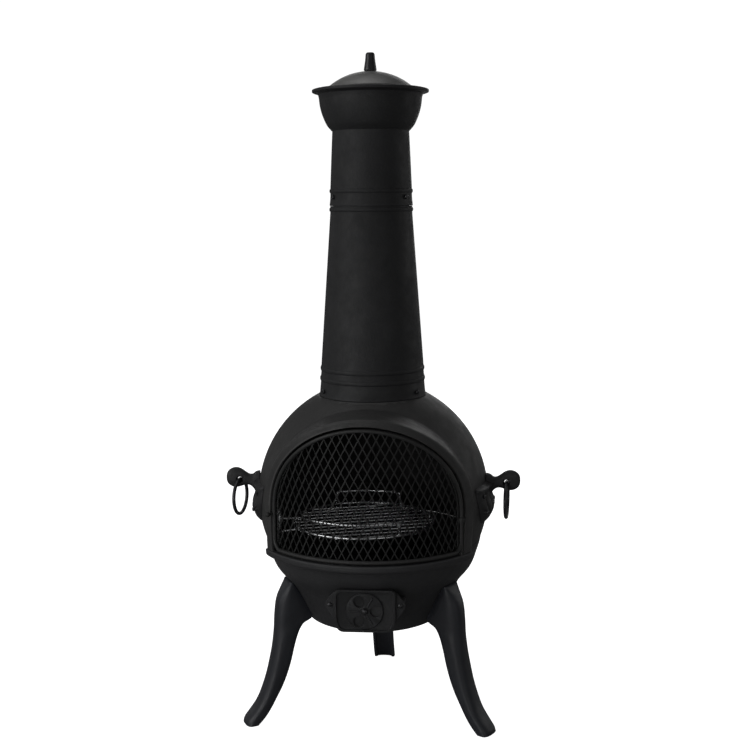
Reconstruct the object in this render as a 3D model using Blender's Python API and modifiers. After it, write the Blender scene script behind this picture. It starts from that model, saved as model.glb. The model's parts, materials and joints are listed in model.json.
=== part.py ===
"""Cast-iron chiminea: a garden fireplace with a mesh door, a swing-out grill and a rotary air vent.

Metres, +Z up. The front faces -Y. The origin is on the ground, at the middle of the bounding box.
Shapes are laid out about the flue axis, and one empty carries them to that origin.
"""

import math

import bmesh
import bpy
from mathutils import Matrix, Vector

# ---- overall layout -------------------------------------------------------------------------
FLUE_Y = -0.0209  # the flue axis, behind which the rear foot reaches further than the front does
GAP = 0.0003  # between pieces that touch
WALL = 0.005  # cast wall

# ---- body -----------------------------------------------------------------------------------
SPHERE_R = 0.2202
SPHERE_Z = 0.4229
SEAM_Z = 0.3435
NECK_Z = 0.6165
SPIGOT_R = 0.0950
SPIGOT_TOP = 0.6430
BORE_R = 0.0895
BODY_STEPS = 40

# ---- mouth and hood -------------------------------------------------------------------------
HOOD_R = 0.2215  # the hood's face is a cylinder about the flue axis
HOOD_THICK = 0.0060
ARCH_Z = 0.4250  # where the straight jambs turn into the elliptical arch
MOUTH_HALF = 0.1795
MOUTH_RISE = 0.1680
HOOD_BAND = 0.0130  # width of the band round the mouth
JAMB_TAPER = 0.0035  # the jambs close in by this much at the hearth
HEARTH_R = 0.2240
HEARTH_Z = 0.3277
HEARTH_SPAN = math.radians(61)

# ---- bowl -----------------------------------------------------------------------------------
BOWL_OUTER = ((0.2062, 0.3432), (0.2040, 0.3330), (0.1988, 0.3170), (0.1935, 0.3010), (0.1855, 0.2865),
              (0.1680, 0.2650), (0.1525, 0.2380), (0.1385, 0.2090), (0.1295, 0.1925), (0.1225, 0.1880))
BOWL_BOTTOM = 0.1880
LUG_AZIMUTHS = (90, -90, 180)
LUG_R = 0.1860

# ---- chimney --------------------------------------------------------------------------------
CHIMNEY_FOOT_Z = 0.6170
CHIMNEY_FOOT_R = 0.1008
CHIMNEY_JOINT_Z = 0.9715
CHIMNEY_JOINT_R = 0.0766
CHIMNEY_TOP_Z = 1.1086
CHIMNEY_TOP_R = 0.0712
BEAD_R = 0.0016  # how far the cast beads stand out
SCREW_AZIMUTHS = (60, -60, 180)
BASE_SCREW_Z = 0.6350
JOINT_SCREW_Z = 0.9850
TUBE_STEPS = 24

# ---- crown and rain lid ---------------------------------------------------------------------
CROWN_OUTER = ((0.1078, 1.1815), (0.1078, 1.1785), (0.1035, 1.1768), (0.0960, 1.1745), (0.0952, 1.1683),
               (0.0935, 1.1539), (0.0898, 1.1394), (0.0840, 1.1250), (0.0799, 1.1176), (0.0733, 1.1100))
CROWN_TOP = 1.1845
CROWN_MOUTH_R = 0.0730
LID_SPHERE = 0.1210
LID_APEX = 1.2165
LID_EDGE_R = 0.0795
LID_THICK = 0.0030
KNOB_TOP = 1.2500

# ---- legs -----------------------------------------------------------------------------------
LEG_AZIMUTHS = {"leg_front_right": 60, "leg_front_left": -64, "leg_rear": 180}
LEG_WIDTH = 0.0440
LEG_WALL = 0.0050
LEG_OUTER = ((0.1500, 0.2715), (0.1770, 0.2715), (0.1875, 0.2560), (0.1975, 0.2360), (0.2020, 0.2050),
             (0.2036, 0.1800), (0.2056, 0.1580), (0.2090, 0.1350), (0.2140, 0.1120), (0.2195, 0.0900),
             (0.2270, 0.0680), (0.2360, 0.0460), (0.2450, 0.0310), (0.2570, 0.0175), (0.2650, 0.0080),
             (0.2670, 0.0000))
LEG_INNER = ((0.2430, 0.0000), (0.2350, 0.0090), (0.2280, 0.0150), (0.2230, 0.0225), (0.2155, 0.0360),
             (0.2055, 0.0520), (0.1945, 0.0720), (0.1855, 0.0930), (0.1780, 0.1150), (0.1725, 0.1370),
             (0.1660, 0.1600), (0.1580, 0.1800), (0.1500, 0.1920), (0.1400, 0.2000), (0.1200, 0.2050))
HOLLOW_TOP = 0.1950
HOLLOW_FOOT = 0.0260

# ---- door -----------------------------------------------------------------------------------
DOOR_R = 0.2178  # the door's rod frame lies on this cylinder
DOOR_ROD = 0.0035
DOOR_HALF = 0.1710
DOOR_RISE = 0.1605
DOOR_FOOT_Z = 0.3492
MESH_R = 0.2120
MESH_THICK = 0.0012
MESH_CELL = (0.0430, 0.0760)
MESH_STRAND = 0.0028
HINGE_EYE_Z = 0.4080

# ---- grill ----------------------------------------------------------------------------------
PIVOT = (-0.1700, -0.0980)
GRILL_CENTRE = (-0.0200, -0.0080)
GRILL_R = 0.1360
GRILL_Z = 0.3720
RAIL_Z = 0.3970
GRILL_WIRE = 0.0030
GRILL_BAR = 0.0022
GRILL_BARS = 11
GRILL_STEPS = 32
BAR_ANGLE = math.radians(18)
POST_R = 0.0040
SLEEVE_R = 0.0068

# ---- fire grate -----------------------------------------------------------------------------
GRATE_R = 0.1522
GRATE_Z = 0.2400
GRATE_THICK = 0.0070

# ---- air vent -------------------------------------------------------------------------------
VENT_Z = 0.2540
VENT_HALF = (0.0550, 0.0390)
VENT_FACE_Y = -0.1955
VENT_PLATE = 0.0050
DAMPER_R = 0.0340
DAMPER_THICK = 0.0030

# ---- handles --------------------------------------------------------------------------------
HANDLE_AZIMUTH = 84
SHIELD_SPAN = math.radians(21)
SHIELD_SPAN_LOW = math.radians(15)
SHIELD_RELIEF = ((0.3835, 0.0040), (0.3930, 0.0100), (0.4080, 0.0137), (0.4210, 0.0110), (0.4300, 0.0080),
                 (0.4450, 0.0075), (0.4480, 0.0120), (0.4530, 0.0120), (0.4560, 0.0040), (0.4660, 0.0025))
KNUCKLE = (0.2620, 0.4575)  # radius from the flue axis and height of the bulb
KNUCKLE_R = 0.0200
KNUCKLE_THICK = 0.0170
EYE = (0.2560, 0.4545)
EYE_R = 0.0062
RING_R = 0.0335
RING_WIRE = 0.0035
RING_TWIST = {"right": 0.0, "left": math.radians(-7)}

# ---- colours --------------------------------------------------------------------------------
IRON = ((0.020, 0.020, 0.022), 0.62, 0.55)
PAINT = ((0.014, 0.014, 0.016), 0.45, 0.20)
LID_IRON = ((0.180, 0.180, 0.180), 0.50, 0.40)
STEEL = ((0.040, 0.041, 0.044), 0.45, 0.80)
CHROME = ((0.620, 0.630, 0.650), 0.15, 1.00)
ZINC = ((0.420, 0.430, 0.440), 0.30, 1.00)


# ---- scene helpers --------------------------------------------------------------------------
def clear_scene():
    for obj in list(bpy.data.objects):
        bpy.data.objects.remove(obj)


def make_collection(name):
    col = bpy.data.collections.new(name)
    bpy.context.scene.collection.children.link(col)
    return col


clear_scene()
PARTS = make_collection("chiminea")
CUTTERS = make_collection("chiminea_cutters")
BASE = bpy.data.objects.new("chiminea_flue_axis", None)
BASE.location = (0, FLUE_Y, 0)
BASE.empty_display_size = 0.1
PARTS.objects.link(BASE)


def material(name, look):
    colour, roughness, metallic = look
    mat = bpy.data.materials.new(name + "_material")
    mat.use_nodes = True
    shader = mat.node_tree.nodes["Principled BSDF"]
    shader.inputs["Base Color"].default_value = (*colour, 1)
    shader.inputs["Roughness"].default_value = roughness
    shader.inputs["Metallic"].default_value = metallic
    mat.diffuse_color = (*colour, 1)
    return mat


def place(name, mesh, look=None, matrix=None):
    """Links a mesh as a part, or as a cutter when it has no look."""
    obj = bpy.data.objects.new(name, mesh)
    obj.parent = BASE
    if matrix is not None:
        obj.matrix_local = matrix
    if look is None:
        CUTTERS.objects.link(obj)
        obj.hide_render = True
        obj.display_type = "WIRE"
        return obj
    PARTS.objects.link(obj)
    mesh.materials.append(material(name, look))
    return obj


def smooth(obj, angle=35):
    obj.data.shade_smooth()
    obj.data.set_sharp_from_angle(angle=math.radians(angle))


def finish_bmesh(name, bm):
    bmesh.ops.recalc_face_normals(bm, faces=bm.faces)
    mesh = bpy.data.meshes.new(name)
    bm.to_mesh(mesh)
    bm.free()
    return mesh


def combine(obj, other, operation):
    mod = obj.modifiers.new(operation.lower() + "_" + other.name, "BOOLEAN")
    mod.operation = operation
    mod.solver = "EXACT"
    mod.object = other


def cut(obj, cutter):
    combine(obj, cutter, "DIFFERENCE")


def join(obj, other):
    combine(obj, other, "UNION")


def keep(obj, other):
    combine(obj, other, "INTERSECT")


def move_origin(obj, point):
    """Puts the object's origin on a point given about the flue axis, leaving its shape where it is."""
    shift = Vector(point)
    obj.data.transform(Matrix.Translation(-shift))
    obj.location = shift


def hang(obj, name, point):
    """Parents a piece to an empty on its joint's axis, leaving it where it is."""
    axis = bpy.data.objects.new(name, None)
    axis.parent = BASE
    axis.location = point
    axis.empty_display_size = 0.03
    PARTS.objects.link(axis)
    obj.parent = axis
    obj.matrix_basis = Matrix.Translation(-Vector(point)) @ obj.matrix_basis


# ---- shape helpers --------------------------------------------------------------------------
def polar(radius, azimuth, z=0.0):
    """A point about the flue axis; azimuth 0 faces the front and grows towards the right."""
    a = math.radians(azimuth)
    return Vector((radius * math.sin(a), -radius * math.cos(a), z))


def facing(azimuth):
    """Turns local +X to point outwards at this azimuth."""
    return Matrix.Rotation(math.radians(azimuth - 90), 4, "Z")


def sphere_r(z, radius=SPHERE_R):
    return math.sqrt(radius**2 - (z - SPHERE_Z) ** 2)


def sphere_arc(z_top, z_bottom, radius, count):
    """Points down a sphere about the body's centre, evenly spaced in angle."""
    a0 = math.asin((z_top - SPHERE_Z) / radius)
    a1 = math.asin((z_bottom - SPHERE_Z) / radius)
    angles = [a0 + (a1 - a0) * i / count for i in range(count + 1)]
    return [(radius * math.cos(a), SPHERE_Z + radius * math.sin(a)) for a in angles]


def turned(name, profile, steps, look=None, closed=True, matrix=None):
    """A profile of (radius, z) turned about Z. It runs down its outer side first."""
    mesh = bpy.data.meshes.new(name)
    count = len(profile)
    edges = [(i, i + 1) for i in range(count - 1)]
    if closed:
        edges.append((count - 1, 0))
    mesh.from_pydata([(r, 0, z) for r, z in profile], edges, [])
    obj = place(name, mesh, look, matrix)
    mod = obj.modifiers.new("turn", "SCREW")
    mod.axis = "Z"
    mod.angle = math.tau
    mod.steps = steps
    mod.render_steps = steps
    mod.use_merge_vertices = True
    mod.merge_threshold = 1e-5
    mod.use_smooth_shade = True
    return obj


def curve_mesh(name, curve):
    """The mesh of a curve, its caps welded to its sides."""
    guide = bpy.data.objects.new(name + "_curve", curve)
    PARTS.objects.link(guide)
    graph = bpy.context.evaluated_depsgraph_get()
    mesh = bpy.data.meshes.new_from_object(guide.evaluated_get(graph))
    bpy.data.objects.remove(guide)
    bpy.data.curves.remove(curve)
    bm = bmesh.new()
    bm.from_mesh(mesh)
    bmesh.ops.remove_doubles(bm, verts=bm.verts, dist=1e-6)
    bpy.data.meshes.remove(mesh)
    return finish_bmesh(name, bm)


def new_curve(name, points, cyclic, dimensions):
    curve = bpy.data.curves.new(name, "CURVE")
    curve.dimensions = dimensions
    spline = curve.splines.new("POLY")
    spline.points.add(len(points) - 1)
    for target, point in zip(spline.points, points):
        target.co = (*point, 1)
    spline.use_cyclic_u = cyclic
    return curve


def slab_mesh(name, outline, thickness):
    """A flat outline in XY, extruded both ways along Z."""
    curve = new_curve(name, [(x, y, 0) for x, y in outline], True, "2D")
    curve.fill_mode = "BOTH"
    curve.extrude = thickness / 2
    return curve_mesh(name, curve)


def upright(name, outline, y0, y1, look=None):
    """An outline of (x, z) extruded along Y from y0 to y1."""
    mesh = slab_mesh(name, outline, abs(y1 - y0))
    turn = Matrix.Translation((0, (y0 + y1) / 2, 0)) @ Matrix.Rotation(math.pi / 2, 4, "X")
    mesh.transform(turn)
    return place(name, mesh, look)


def rod(name, points, radius, look=None, cyclic=False, resolution=2):
    curve = new_curve(name, points, cyclic, "3D")
    curve.bevel_depth = radius
    curve.bevel_resolution = resolution
    curve.use_fill_caps = not cyclic
    obj = place(name, curve_mesh(name, curve), look)
    smooth(obj, 50)
    return obj


def bar(name, radius, start, end, look=None, segments=16, radius_end=None):
    """A straight round bar, or a cone, between two points."""
    start, end = Vector(start), Vector(end)
    bm = bmesh.new()
    bmesh.ops.create_cone(
        bm, cap_ends=True, segments=segments, radius1=radius, depth=(end - start).length,
        radius2=radius if radius_end is None else radius_end,
    )
    mesh = finish_bmesh(name, bm)
    turn = (end - start).to_track_quat("Z", "Y").to_matrix().to_4x4()
    mesh.transform(Matrix.Translation((start + end) / 2) @ turn)
    obj = place(name, mesh, look)
    smooth(obj)
    return obj


def box(name, low, high, look=None, turn=None):
    low, high = Vector(low), Vector(high)
    bm = bmesh.new()
    bmesh.ops.create_cube(bm, size=1)
    mesh = finish_bmesh(name, bm)
    size = Matrix.Diagonal((*(high - low), 1))
    mesh.transform((turn or Matrix()) @ Matrix.Translation((low + high) / 2) @ size)
    return place(name, mesh, look)


def sector(name, profile, middle, span, steps, look=None):
    """A profile of (radius, z) swept about the flue axis, span either side of the middle azimuth."""
    bm = bmesh.new()
    verts = [bm.verts.new((r, 0, z)) for r, z in profile]
    edges = [bm.edges.new((verts[i - 1], verts[i])) for i in range(len(verts))]
    bmesh.ops.rotate(bm, verts=verts, cent=(0, 0, 0), matrix=Matrix.Rotation(-span, 3, "Z"))
    bmesh.ops.spin(bm, geom=verts + edges, cent=(0, 0, 0), axis=(0, 0, 1), angle=2 * span, steps=steps)
    bmesh.ops.holes_fill(bm, edges=[e for e in bm.edges if e.is_boundary])
    mesh = finish_bmesh(name, bm)
    mesh.transform(facing(middle))
    return place(name, mesh, look)


def fastener(name, head, direction, head_r, head_h, shank_r, length, hosts, look=ZINC, sides=8):
    """A domed screw. Its head's underside stands at `head`, and its shank runs along `direction`."""
    axis = Vector(direction).normalized()
    turn = Matrix.Translation(head) @ (-axis).to_track_quat("Z", "Y").to_matrix().to_4x4()
    dome = [(0.0, head_h), (head_r * 0.75, head_h * 0.75), (head_r, 0.0)]
    turned(name, dome + [(shank_r, 0.0), (shank_r, -length), (0.0, -length)], sides, look, False, turn)
    hole = turned(
        name + "_hole", [(0.0, 0.002), (shank_r + 0.0004, 0.002), (shank_r + 0.0004, -length - 0.0008),
                         (0.0, -length - 0.0008)], sides, None, False, turn,
    )
    for host in hosts:
        cut(host, hole)


def arch(half, rise, foot_z, taper, count=20):
    """The mouth's outline: jambs up to ARCH_Z, then half an ellipse, from lower right to lower left."""
    points = [(half - taper, foot_z)]
    for i in range(count + 1):
        a = math.pi * i / count
        points.append((half * math.cos(a), ARCH_Z + rise * math.sin(a)))
    points.append((-half + taper, foot_z))
    return points


def wrap(obj, radius):
    """Bends a flat piece, whose X is an arc length and Y a radial offset, on to a cylinder."""
    for vert in obj.data.vertices:
        x, y, z = vert.co
        r = radius - y
        vert.co = (r * math.sin(x / radius), -r * math.cos(x / radius), z)


# ---- body -----------------------------------------------------------------------------------
def make_upper_body():
    outer = [(0.0, SPIGOT_TOP), (SPIGOT_R, SPIGOT_TOP), (SPIGOT_R, NECK_Z)]
    outer += sphere_arc(NECK_Z, SEAM_Z - 0.004, SPHERE_R, 11) + [(0.0, SEAM_Z - 0.004)]
    body = turned("upper_body", outer, BODY_STEPS, IRON, closed=False)

    ceiling = NECK_Z - 0.006
    hollow = [(0.0, SPIGOT_TOP + 0.01), (BORE_R, SPIGOT_TOP + 0.01), (BORE_R, ceiling)]
    hollow += sphere_arc(ceiling, SEAM_Z - 0.01, SPHERE_R - WALL, 10) + [(0.0, SEAM_Z - 0.01)]
    cavity = turned("body_cavity", hollow, BODY_STEPS, closed=False)

    block = arch(MOUTH_HALF + HOOD_BAND, MOUTH_RISE + HOOD_BAND, SEAM_Z - 0.004, JAMB_TAPER)
    hood = upright("hood_block", block, -0.24, -0.03)
    keep(hood, cylinder_cutter("hood_face", HOOD_R))
    inside = HOOD_BAND - WALL - 0.001
    hollow_block = arch(MOUTH_HALF + inside, MOUTH_RISE + inside, SEAM_Z - 0.012, JAMB_TAPER)
    hood_cavity = upright("hood_cavity", hollow_block, -0.24, -0.02)
    keep(hood_cavity, cylinder_cutter("hood_inner_face", HOOD_R - HOOD_THICK))
    mouth = upright("mouth_opening", arch(MOUTH_HALF, MOUTH_RISE, SEAM_Z - 0.014, JAMB_TAPER), -0.26, -0.10)
    join(body, hood)
    cut(body, cavity)
    cut(body, hood_cavity)
    cut(body, mouth)
    return body


def cylinder_cutter(name, radius):
    return turned(
        name, [(0.0, 0.70), (radius, 0.70), (radius, 0.30), (0.0, 0.30)], 72, closed=False
    )


def bowl_at(z):
    """The bowl's outer radius at a height."""
    for (r0, z0), (r1, z1) in zip(BOWL_OUTER, BOWL_OUTER[1:]):
        if z1 <= z <= z0:
            return r0 + (r1 - r0) * (z0 - z) / (z0 - z1)
    return BOWL_OUTER[0][0]


def make_lower_bowl():
    top = BOWL_OUTER[0][1]
    rim = (BOWL_OUTER[0][0], top + 0.004)
    bowl = turned("lower_bowl", [(0.0, rim[1]), rim] + list(BOWL_OUTER) + [(0.0, BOWL_BOTTOM)], BODY_STEPS,
                  IRON, closed=False)
    lip = [(0.1900, top), (HEARTH_R - 0.0015, top), (HEARTH_R, top - 0.0030),
           (HEARTH_R - 0.0005, HEARTH_Z + 0.0035), (HEARTH_R - 0.0040, HEARTH_Z), (0.1900, HEARTH_Z)]
    join(bowl, sector("hearth_lip", lip, 0, HEARTH_SPAN, 24))
    half_x, half_z = VENT_HALF[0] - 0.002, VENT_HALF[1] - 0.002
    back_y = VENT_FACE_Y + VENT_PLATE + GAP
    join(bowl, box("vent_sleeve", (-half_x, back_y, VENT_Z - half_z), (half_x, -0.110, VENT_Z + half_z)))
    for side in (-1, 1):
        x = side * (VENT_HALF[0] + 0.0085)
        y = VENT_FACE_Y + 0.0095
        z = VENT_Z + 0.009
        join(bowl, bar("vent_boss_%d" % side, 0.0070, (x, y, z), (x, -0.125, z), segments=12))
    hollow = [(BOWL_OUTER[0][0] - WALL, top + 0.01)] + [(r - WALL, z) for r, z in BOWL_OUTER[:-2]]
    hollow += [(0.1185, BOWL_BOTTOM + WALL), (0.0, BOWL_BOTTOM + WALL)]
    cut(bowl, turned("bowl_cavity", [(0.0, top + 0.01)] + hollow, BODY_STEPS, closed=False))
    cut(bowl, box("vent_passage", (-half_x + WALL, -0.25, VENT_Z - half_z + WALL),
                  (half_x - WALL, -0.09, VENT_Z + half_z - WALL)))
    return bowl


def make_lugs(upper, lower):
    """Inside lugs either side of the seam, with a bolt and a nut through each pair."""
    for azimuth, place_name in zip(LUG_AZIMUTHS, ("right", "left", "rear")):
        turn = facing(azimuth)
        join(upper, box("upper_lug_" + place_name, (0.172, -0.012, SEAM_Z - 0.006),
                        (0.2045, 0.012, SEAM_Z + 0.009), turn=turn))
        join(lower, box("lower_lug_" + place_name, (0.172, -0.012, SEAM_Z - 0.010),
                        (0.2025, 0.012, SEAM_Z + 0.002), turn=turn))
    cut(upper, box("below_seam", (-0.3, -0.3, 0.30), (0.3, 0.3, SEAM_Z)))
    cut(lower, box("above_seam", (-0.3, -0.3, BOWL_OUTER[0][1]), (0.3, 0.3, 0.38)))
    for azimuth, place_name in zip(LUG_AZIMUTHS, ("right", "left", "rear")):
        head = polar(LUG_R, azimuth, SEAM_Z + 0.009 + GAP)
        fastener("body_bolt_" + place_name, head, (0, 0, -1), 0.0065, 0.0045, 0.0030, 0.0265, (upper, lower))
        nut_top = SEAM_Z - 0.010 - GAP
        nut = bar("body_nut_" + place_name, 0.0062, polar(LUG_R, azimuth, nut_top),
                  polar(LUG_R, azimuth, nut_top - 0.005), ZINC, segments=6)
        cut(nut, bar("body_nut_bore_" + place_name, 0.0034, polar(LUG_R, azimuth, nut_top + 0.01),
                     polar(LUG_R, azimuth, nut_top - 0.02)))


# ---- chimney --------------------------------------------------------------------------------
def bead(radius, z):
    """A half-round bead standing out of a wall of this radius, top to bottom."""
    peak = radius + BEAD_R
    return [(radius, z + 0.0042), (peak, z + 0.0016), (peak, z - 0.0016), (radius, z - 0.0042)]


def taper(z, z0, r0, z1, r1):
    return r0 + (r1 - r0) * (z - z0) / (z1 - z0)


def make_chimney_lower():
    def wall(z):
        return taper(z, 0.6850, 0.0962, 0.9560, 0.0768)

    joint = CHIMNEY_JOINT_Z
    outer = [(0.0712, joint + 0.020), (0.0712, joint), (CHIMNEY_JOINT_R, joint)]
    outer += bead(CHIMNEY_JOINT_R, 0.9650) + [(wall(z), z) for z in (0.9540, 0.9380, 0.8, 0.6850)]
    for z, r in ((0.6681, 0.0970), (0.6490, 0.0980)):
        outer += bead(r, z)
    outer += [(CHIMNEY_FOOT_R, CHIMNEY_FOOT_Z + 0.002), (CHIMNEY_FOOT_R + 0.0006, CHIMNEY_FOOT_Z)]
    inner = [(SPIGOT_R + 0.0014, CHIMNEY_FOOT_Z), (SPIGOT_R + 0.0014, SPIGOT_TOP + 0.001),
             (0.0925, SPIGOT_TOP + 0.006), (0.0727, 0.9440), (0.0668, joint - 0.006),
             (0.0672, joint + 0.020)]
    return turned("chimney_lower", outer + inner, TUBE_STEPS, IRON)


def make_chimney_upper():
    top = CHIMNEY_TOP_Z
    low = CHIMNEY_JOINT_Z + GAP
    outer = [(0.0668, top + 0.013), (0.0668, top), (CHIMNEY_TOP_R, top), (0.0758, 1.0080)]
    outer += bead(0.0760, 0.9990) + [(0.0763, 0.9860), (0.0774, low + 0.0030), (0.0774, low)]
    inner = [(0.0717, low), (0.0717, CHIMNEY_JOINT_Z + 0.021), (0.0700, CHIMNEY_JOINT_Z + 0.030),
             (0.0628, top), (0.0628, top + 0.013)]
    return turned("chimney_upper", outer + inner, TUBE_STEPS, IRON)


def make_crown():
    foot = CHIMNEY_TOP_Z + GAP
    outer = [(CROWN_MOUTH_R, CROWN_TOP), (0.0960, CROWN_TOP), (0.1035, 1.1838)] + list(CROWN_OUTER)
    outer += [(0.0724, foot)]
    inner = [(0.0673, foot), (0.0673, CHIMNEY_TOP_Z + 0.015), (0.0745, 1.1180), (0.0790, 1.1260),
             (0.0850, 1.1405), (0.0888, 1.1545), (0.0905, 1.1690), (0.0905, 1.1755), (0.0760, 1.1800),
             (CROWN_MOUTH_R, 1.1805)]
    return turned("crown", outer + inner, TUBE_STEPS, IRON)


def make_lid():
    centre = LID_APEX - LID_SPHERE
    seat = CROWN_TOP + GAP

    def cap(radius, edge, count):
        last = math.asin(edge / radius)
        angles = [last * i / count for i in range(count + 1)]
        return [(radius * math.sin(a), centre + radius * math.cos(a)) for a in angles]

    bore = 0.0036
    outer = [p for p in cap(LID_SPHERE, LID_EDGE_R - 0.0005, 5) if p[0] > bore]
    outer = [(bore, LID_APEX)] + outer + [(LID_EDGE_R, seat + 0.0012), (LID_EDGE_R, seat)]
    skirt = [(0.0722, seat), (0.0722, seat - 0.0075), (0.0692, seat - 0.0075)]
    inner = [p for p in reversed(cap(LID_SPHERE - LID_THICK, 0.0692, 4)) if p[0] > bore]
    inner += [(bore, LID_APEX - LID_THICK)]
    lid = turned("rain_lid", outer + skirt + inner, TUBE_STEPS, LID_IRON)

    base = LID_APEX + GAP
    knob = [(0.0, KNOB_TOP), (0.0062, KNOB_TOP - 0.0004), (0.0084, KNOB_TOP - 0.0030),
            (0.0100, base + 0.016), (0.0118, base + 0.0015), (0.0112, base), (0.0031, base),
            (0.0031, base - 0.0120), (0.0, base - 0.0120)]
    turned("lid_knob", knob, 20, PAINT, closed=False)
    nut_top = LID_APEX - LID_THICK - GAP - 0.0003
    nut = bar("lid_nut", 0.0065, (0, 0, nut_top), (0, 0, nut_top - 0.0048), ZINC, segments=6)
    cut(nut, bar("lid_nut_bore", 0.0035, (0, 0, nut_top + 0.01), (0, 0, nut_top - 0.02)))
    return lid


def make_chimney_screws(body, lower, upper):
    names = ("right", "left", "rear")
    for azimuth, side in zip(SCREW_AZIMUTHS, names):
        inward = -polar(1.0, azimuth)
        fastener("base_screw_" + side, polar(0.1016, azimuth, BASE_SCREW_Z - 0.0065), inward,
                 0.0046, 0.0030, 0.0024, 0.0145, (body, lower))
        fastener("joint_screw_" + side, polar(0.0776, azimuth, JOINT_SCREW_Z + 0.003), inward,
                 0.0046, 0.0030, 0.0024, 0.0135, (lower, upper))


# ---- legs -----------------------------------------------------------------------------------
def make_legs(bowl):
    clearance = [(r + GAP, z) for r, z in BOWL_OUTER]
    fit = turned("bowl_clearance", [(0.0, 0.36), (BOWL_OUTER[0][0], 0.36)] + clearance[:-1]
                 + [(0.1225, BOWL_BOTTOM - GAP), (0.0, BOWL_BOTTOM - GAP)], BODY_STEPS, closed=False)
    for name, azimuth in LEG_AZIMUTHS.items():
        turn = facing(azimuth)
        stand = Matrix.Rotation(math.pi / 2, 4, "X")
        mesh = slab_mesh(name, list(LEG_OUTER) + list(LEG_INNER), LEG_WIDTH)
        mesh.transform(turn @ stand)
        leg = place(name, mesh, PAINT)
        soft = leg.modifiers.new("soft_edges", "BEVEL")
        soft.width = 0.0050
        soft.segments = 1
        soft.limit_method = "ANGLE"
        soft.angle_limit = math.radians(55)
        outer = [(r - LEG_WALL, z) for r, z in LEG_OUTER if HOLLOW_FOOT < z < HOLLOW_TOP]
        inner = [(r - 0.025, z) for r, z in LEG_INNER if HOLLOW_FOOT < z < HOLLOW_TOP]
        hollow = slab_mesh(name + "_hollow", outer + inner, LEG_WIDTH - 2 * LEG_WALL)
        hollow.transform(turn @ stand)
        cut(leg, place(name + "_hollow", hollow))
        cut(leg, fit)
        side = name.replace("leg_", "")
        z = 0.2225
        out = (polar(0.906, azimuth) + Vector((0, 0, -0.422))).normalized()
        head = polar(bowl_at(z), azimuth, z) - out * (WALL * 0.93 + 0.0009)
        fastener("leg_bolt_" + side, head, out, 0.0070, 0.0045, 0.0030, 0.0180, (bowl, leg))


# ---- door -----------------------------------------------------------------------------------
def door_azimuth(x):
    return math.degrees(math.asin(x / DOOR_R))


def make_door(bowl):
    hinge = polar(DOOR_R, door_azimuth(DOOR_HALF))
    flat = arch(DOOR_HALF, DOOR_RISE, DOOR_FOOT_Z + 0.012, 0.0, 20)
    path = [polar(DOOR_R, door_azimuth(x), z) for x, z in flat]
    corner = 0.012
    reach = math.radians(door_azimuth(DOOR_HALF)) - corner / DOOR_R
    rail = [polar(DOOR_R, math.degrees(-reach + 2 * reach * i / 12), DOOR_FOOT_Z) for i in range(13)]
    turn = math.degrees(reach + 0.7 * corner / DOOR_R)
    rail.insert(0, polar(DOOR_R, -turn, DOOR_FOOT_Z + 0.3 * corner))
    rail.append(polar(DOOR_R, turn, DOOR_FOOT_Z + 0.3 * corner))
    frame = rod("door_frame", path + rail, DOOR_ROD, STEEL, cyclic=True, resolution=1)
    socket_z = 0.3335
    top = (hinge.x, hinge.y, DOOR_FOOT_Z + 0.018)
    pin = bar("door_foot_pin", DOOR_ROD, (hinge.x, hinge.y, socket_z), top)
    join(frame, pin)
    cut(bowl, bar("door_socket", DOOR_ROD + 0.0005, (hinge.x, hinge.y, socket_z - 0.0006),
                  (hinge.x, hinge.y, SEAM_Z + 0.02)))
    move_origin(frame, hinge)

    make_mesh(hinge)
    make_hinge_eye(hinge)
    make_pull(hinge)


def make_mesh(hinge):
    """Expanded metal: a flat lattice trimmed to the arch, edged with wire and bent to the door's curve."""

    def flat(outline):
        return [(math.asin(x / DOOR_R) * DOOR_R, z) for x, z in outline]

    def refined(outline):
        points = []
        for a, b in zip(outline, outline[1:] + outline[:1]):
            pieces = max(1, round(math.dist(a, b) / 0.030))
            points += [Vector(a).lerp(Vector(b), k / pieces) for k in range(pieces)]
        return points

    trim = 0.0068
    edge = flat(arch(DOOR_HALF - trim, DOOR_RISE - 0.001, DOOR_FOOT_Z + 0.001, 0.0, 18))
    sheet = place("door_mesh", lattice_mesh(), STEEL)
    solid = sheet.modifiers.new("sheet", "SOLIDIFY")
    solid.thickness = MESH_THICK
    solid.offset = 0
    keep(sheet, upright("mesh_trim", refined(edge), -0.01, 0.01))
    wire = [(x, 0.0, z) for x, z in refined(edge)]
    join(sheet, rod("mesh_edge_wire", wire, 0.0017, cyclic=True, resolution=1))
    graph = bpy.context.evaluated_depsgraph_get()
    bm = bmesh.new()
    bm.from_object(sheet, graph)
    bmesh.ops.triangulate(bm, faces=bm.faces)
    sheet.modifiers.clear()
    bm.to_mesh(sheet.data)
    bm.free()
    wrap(sheet, MESH_R)
    move_origin(sheet, hinge)


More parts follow.
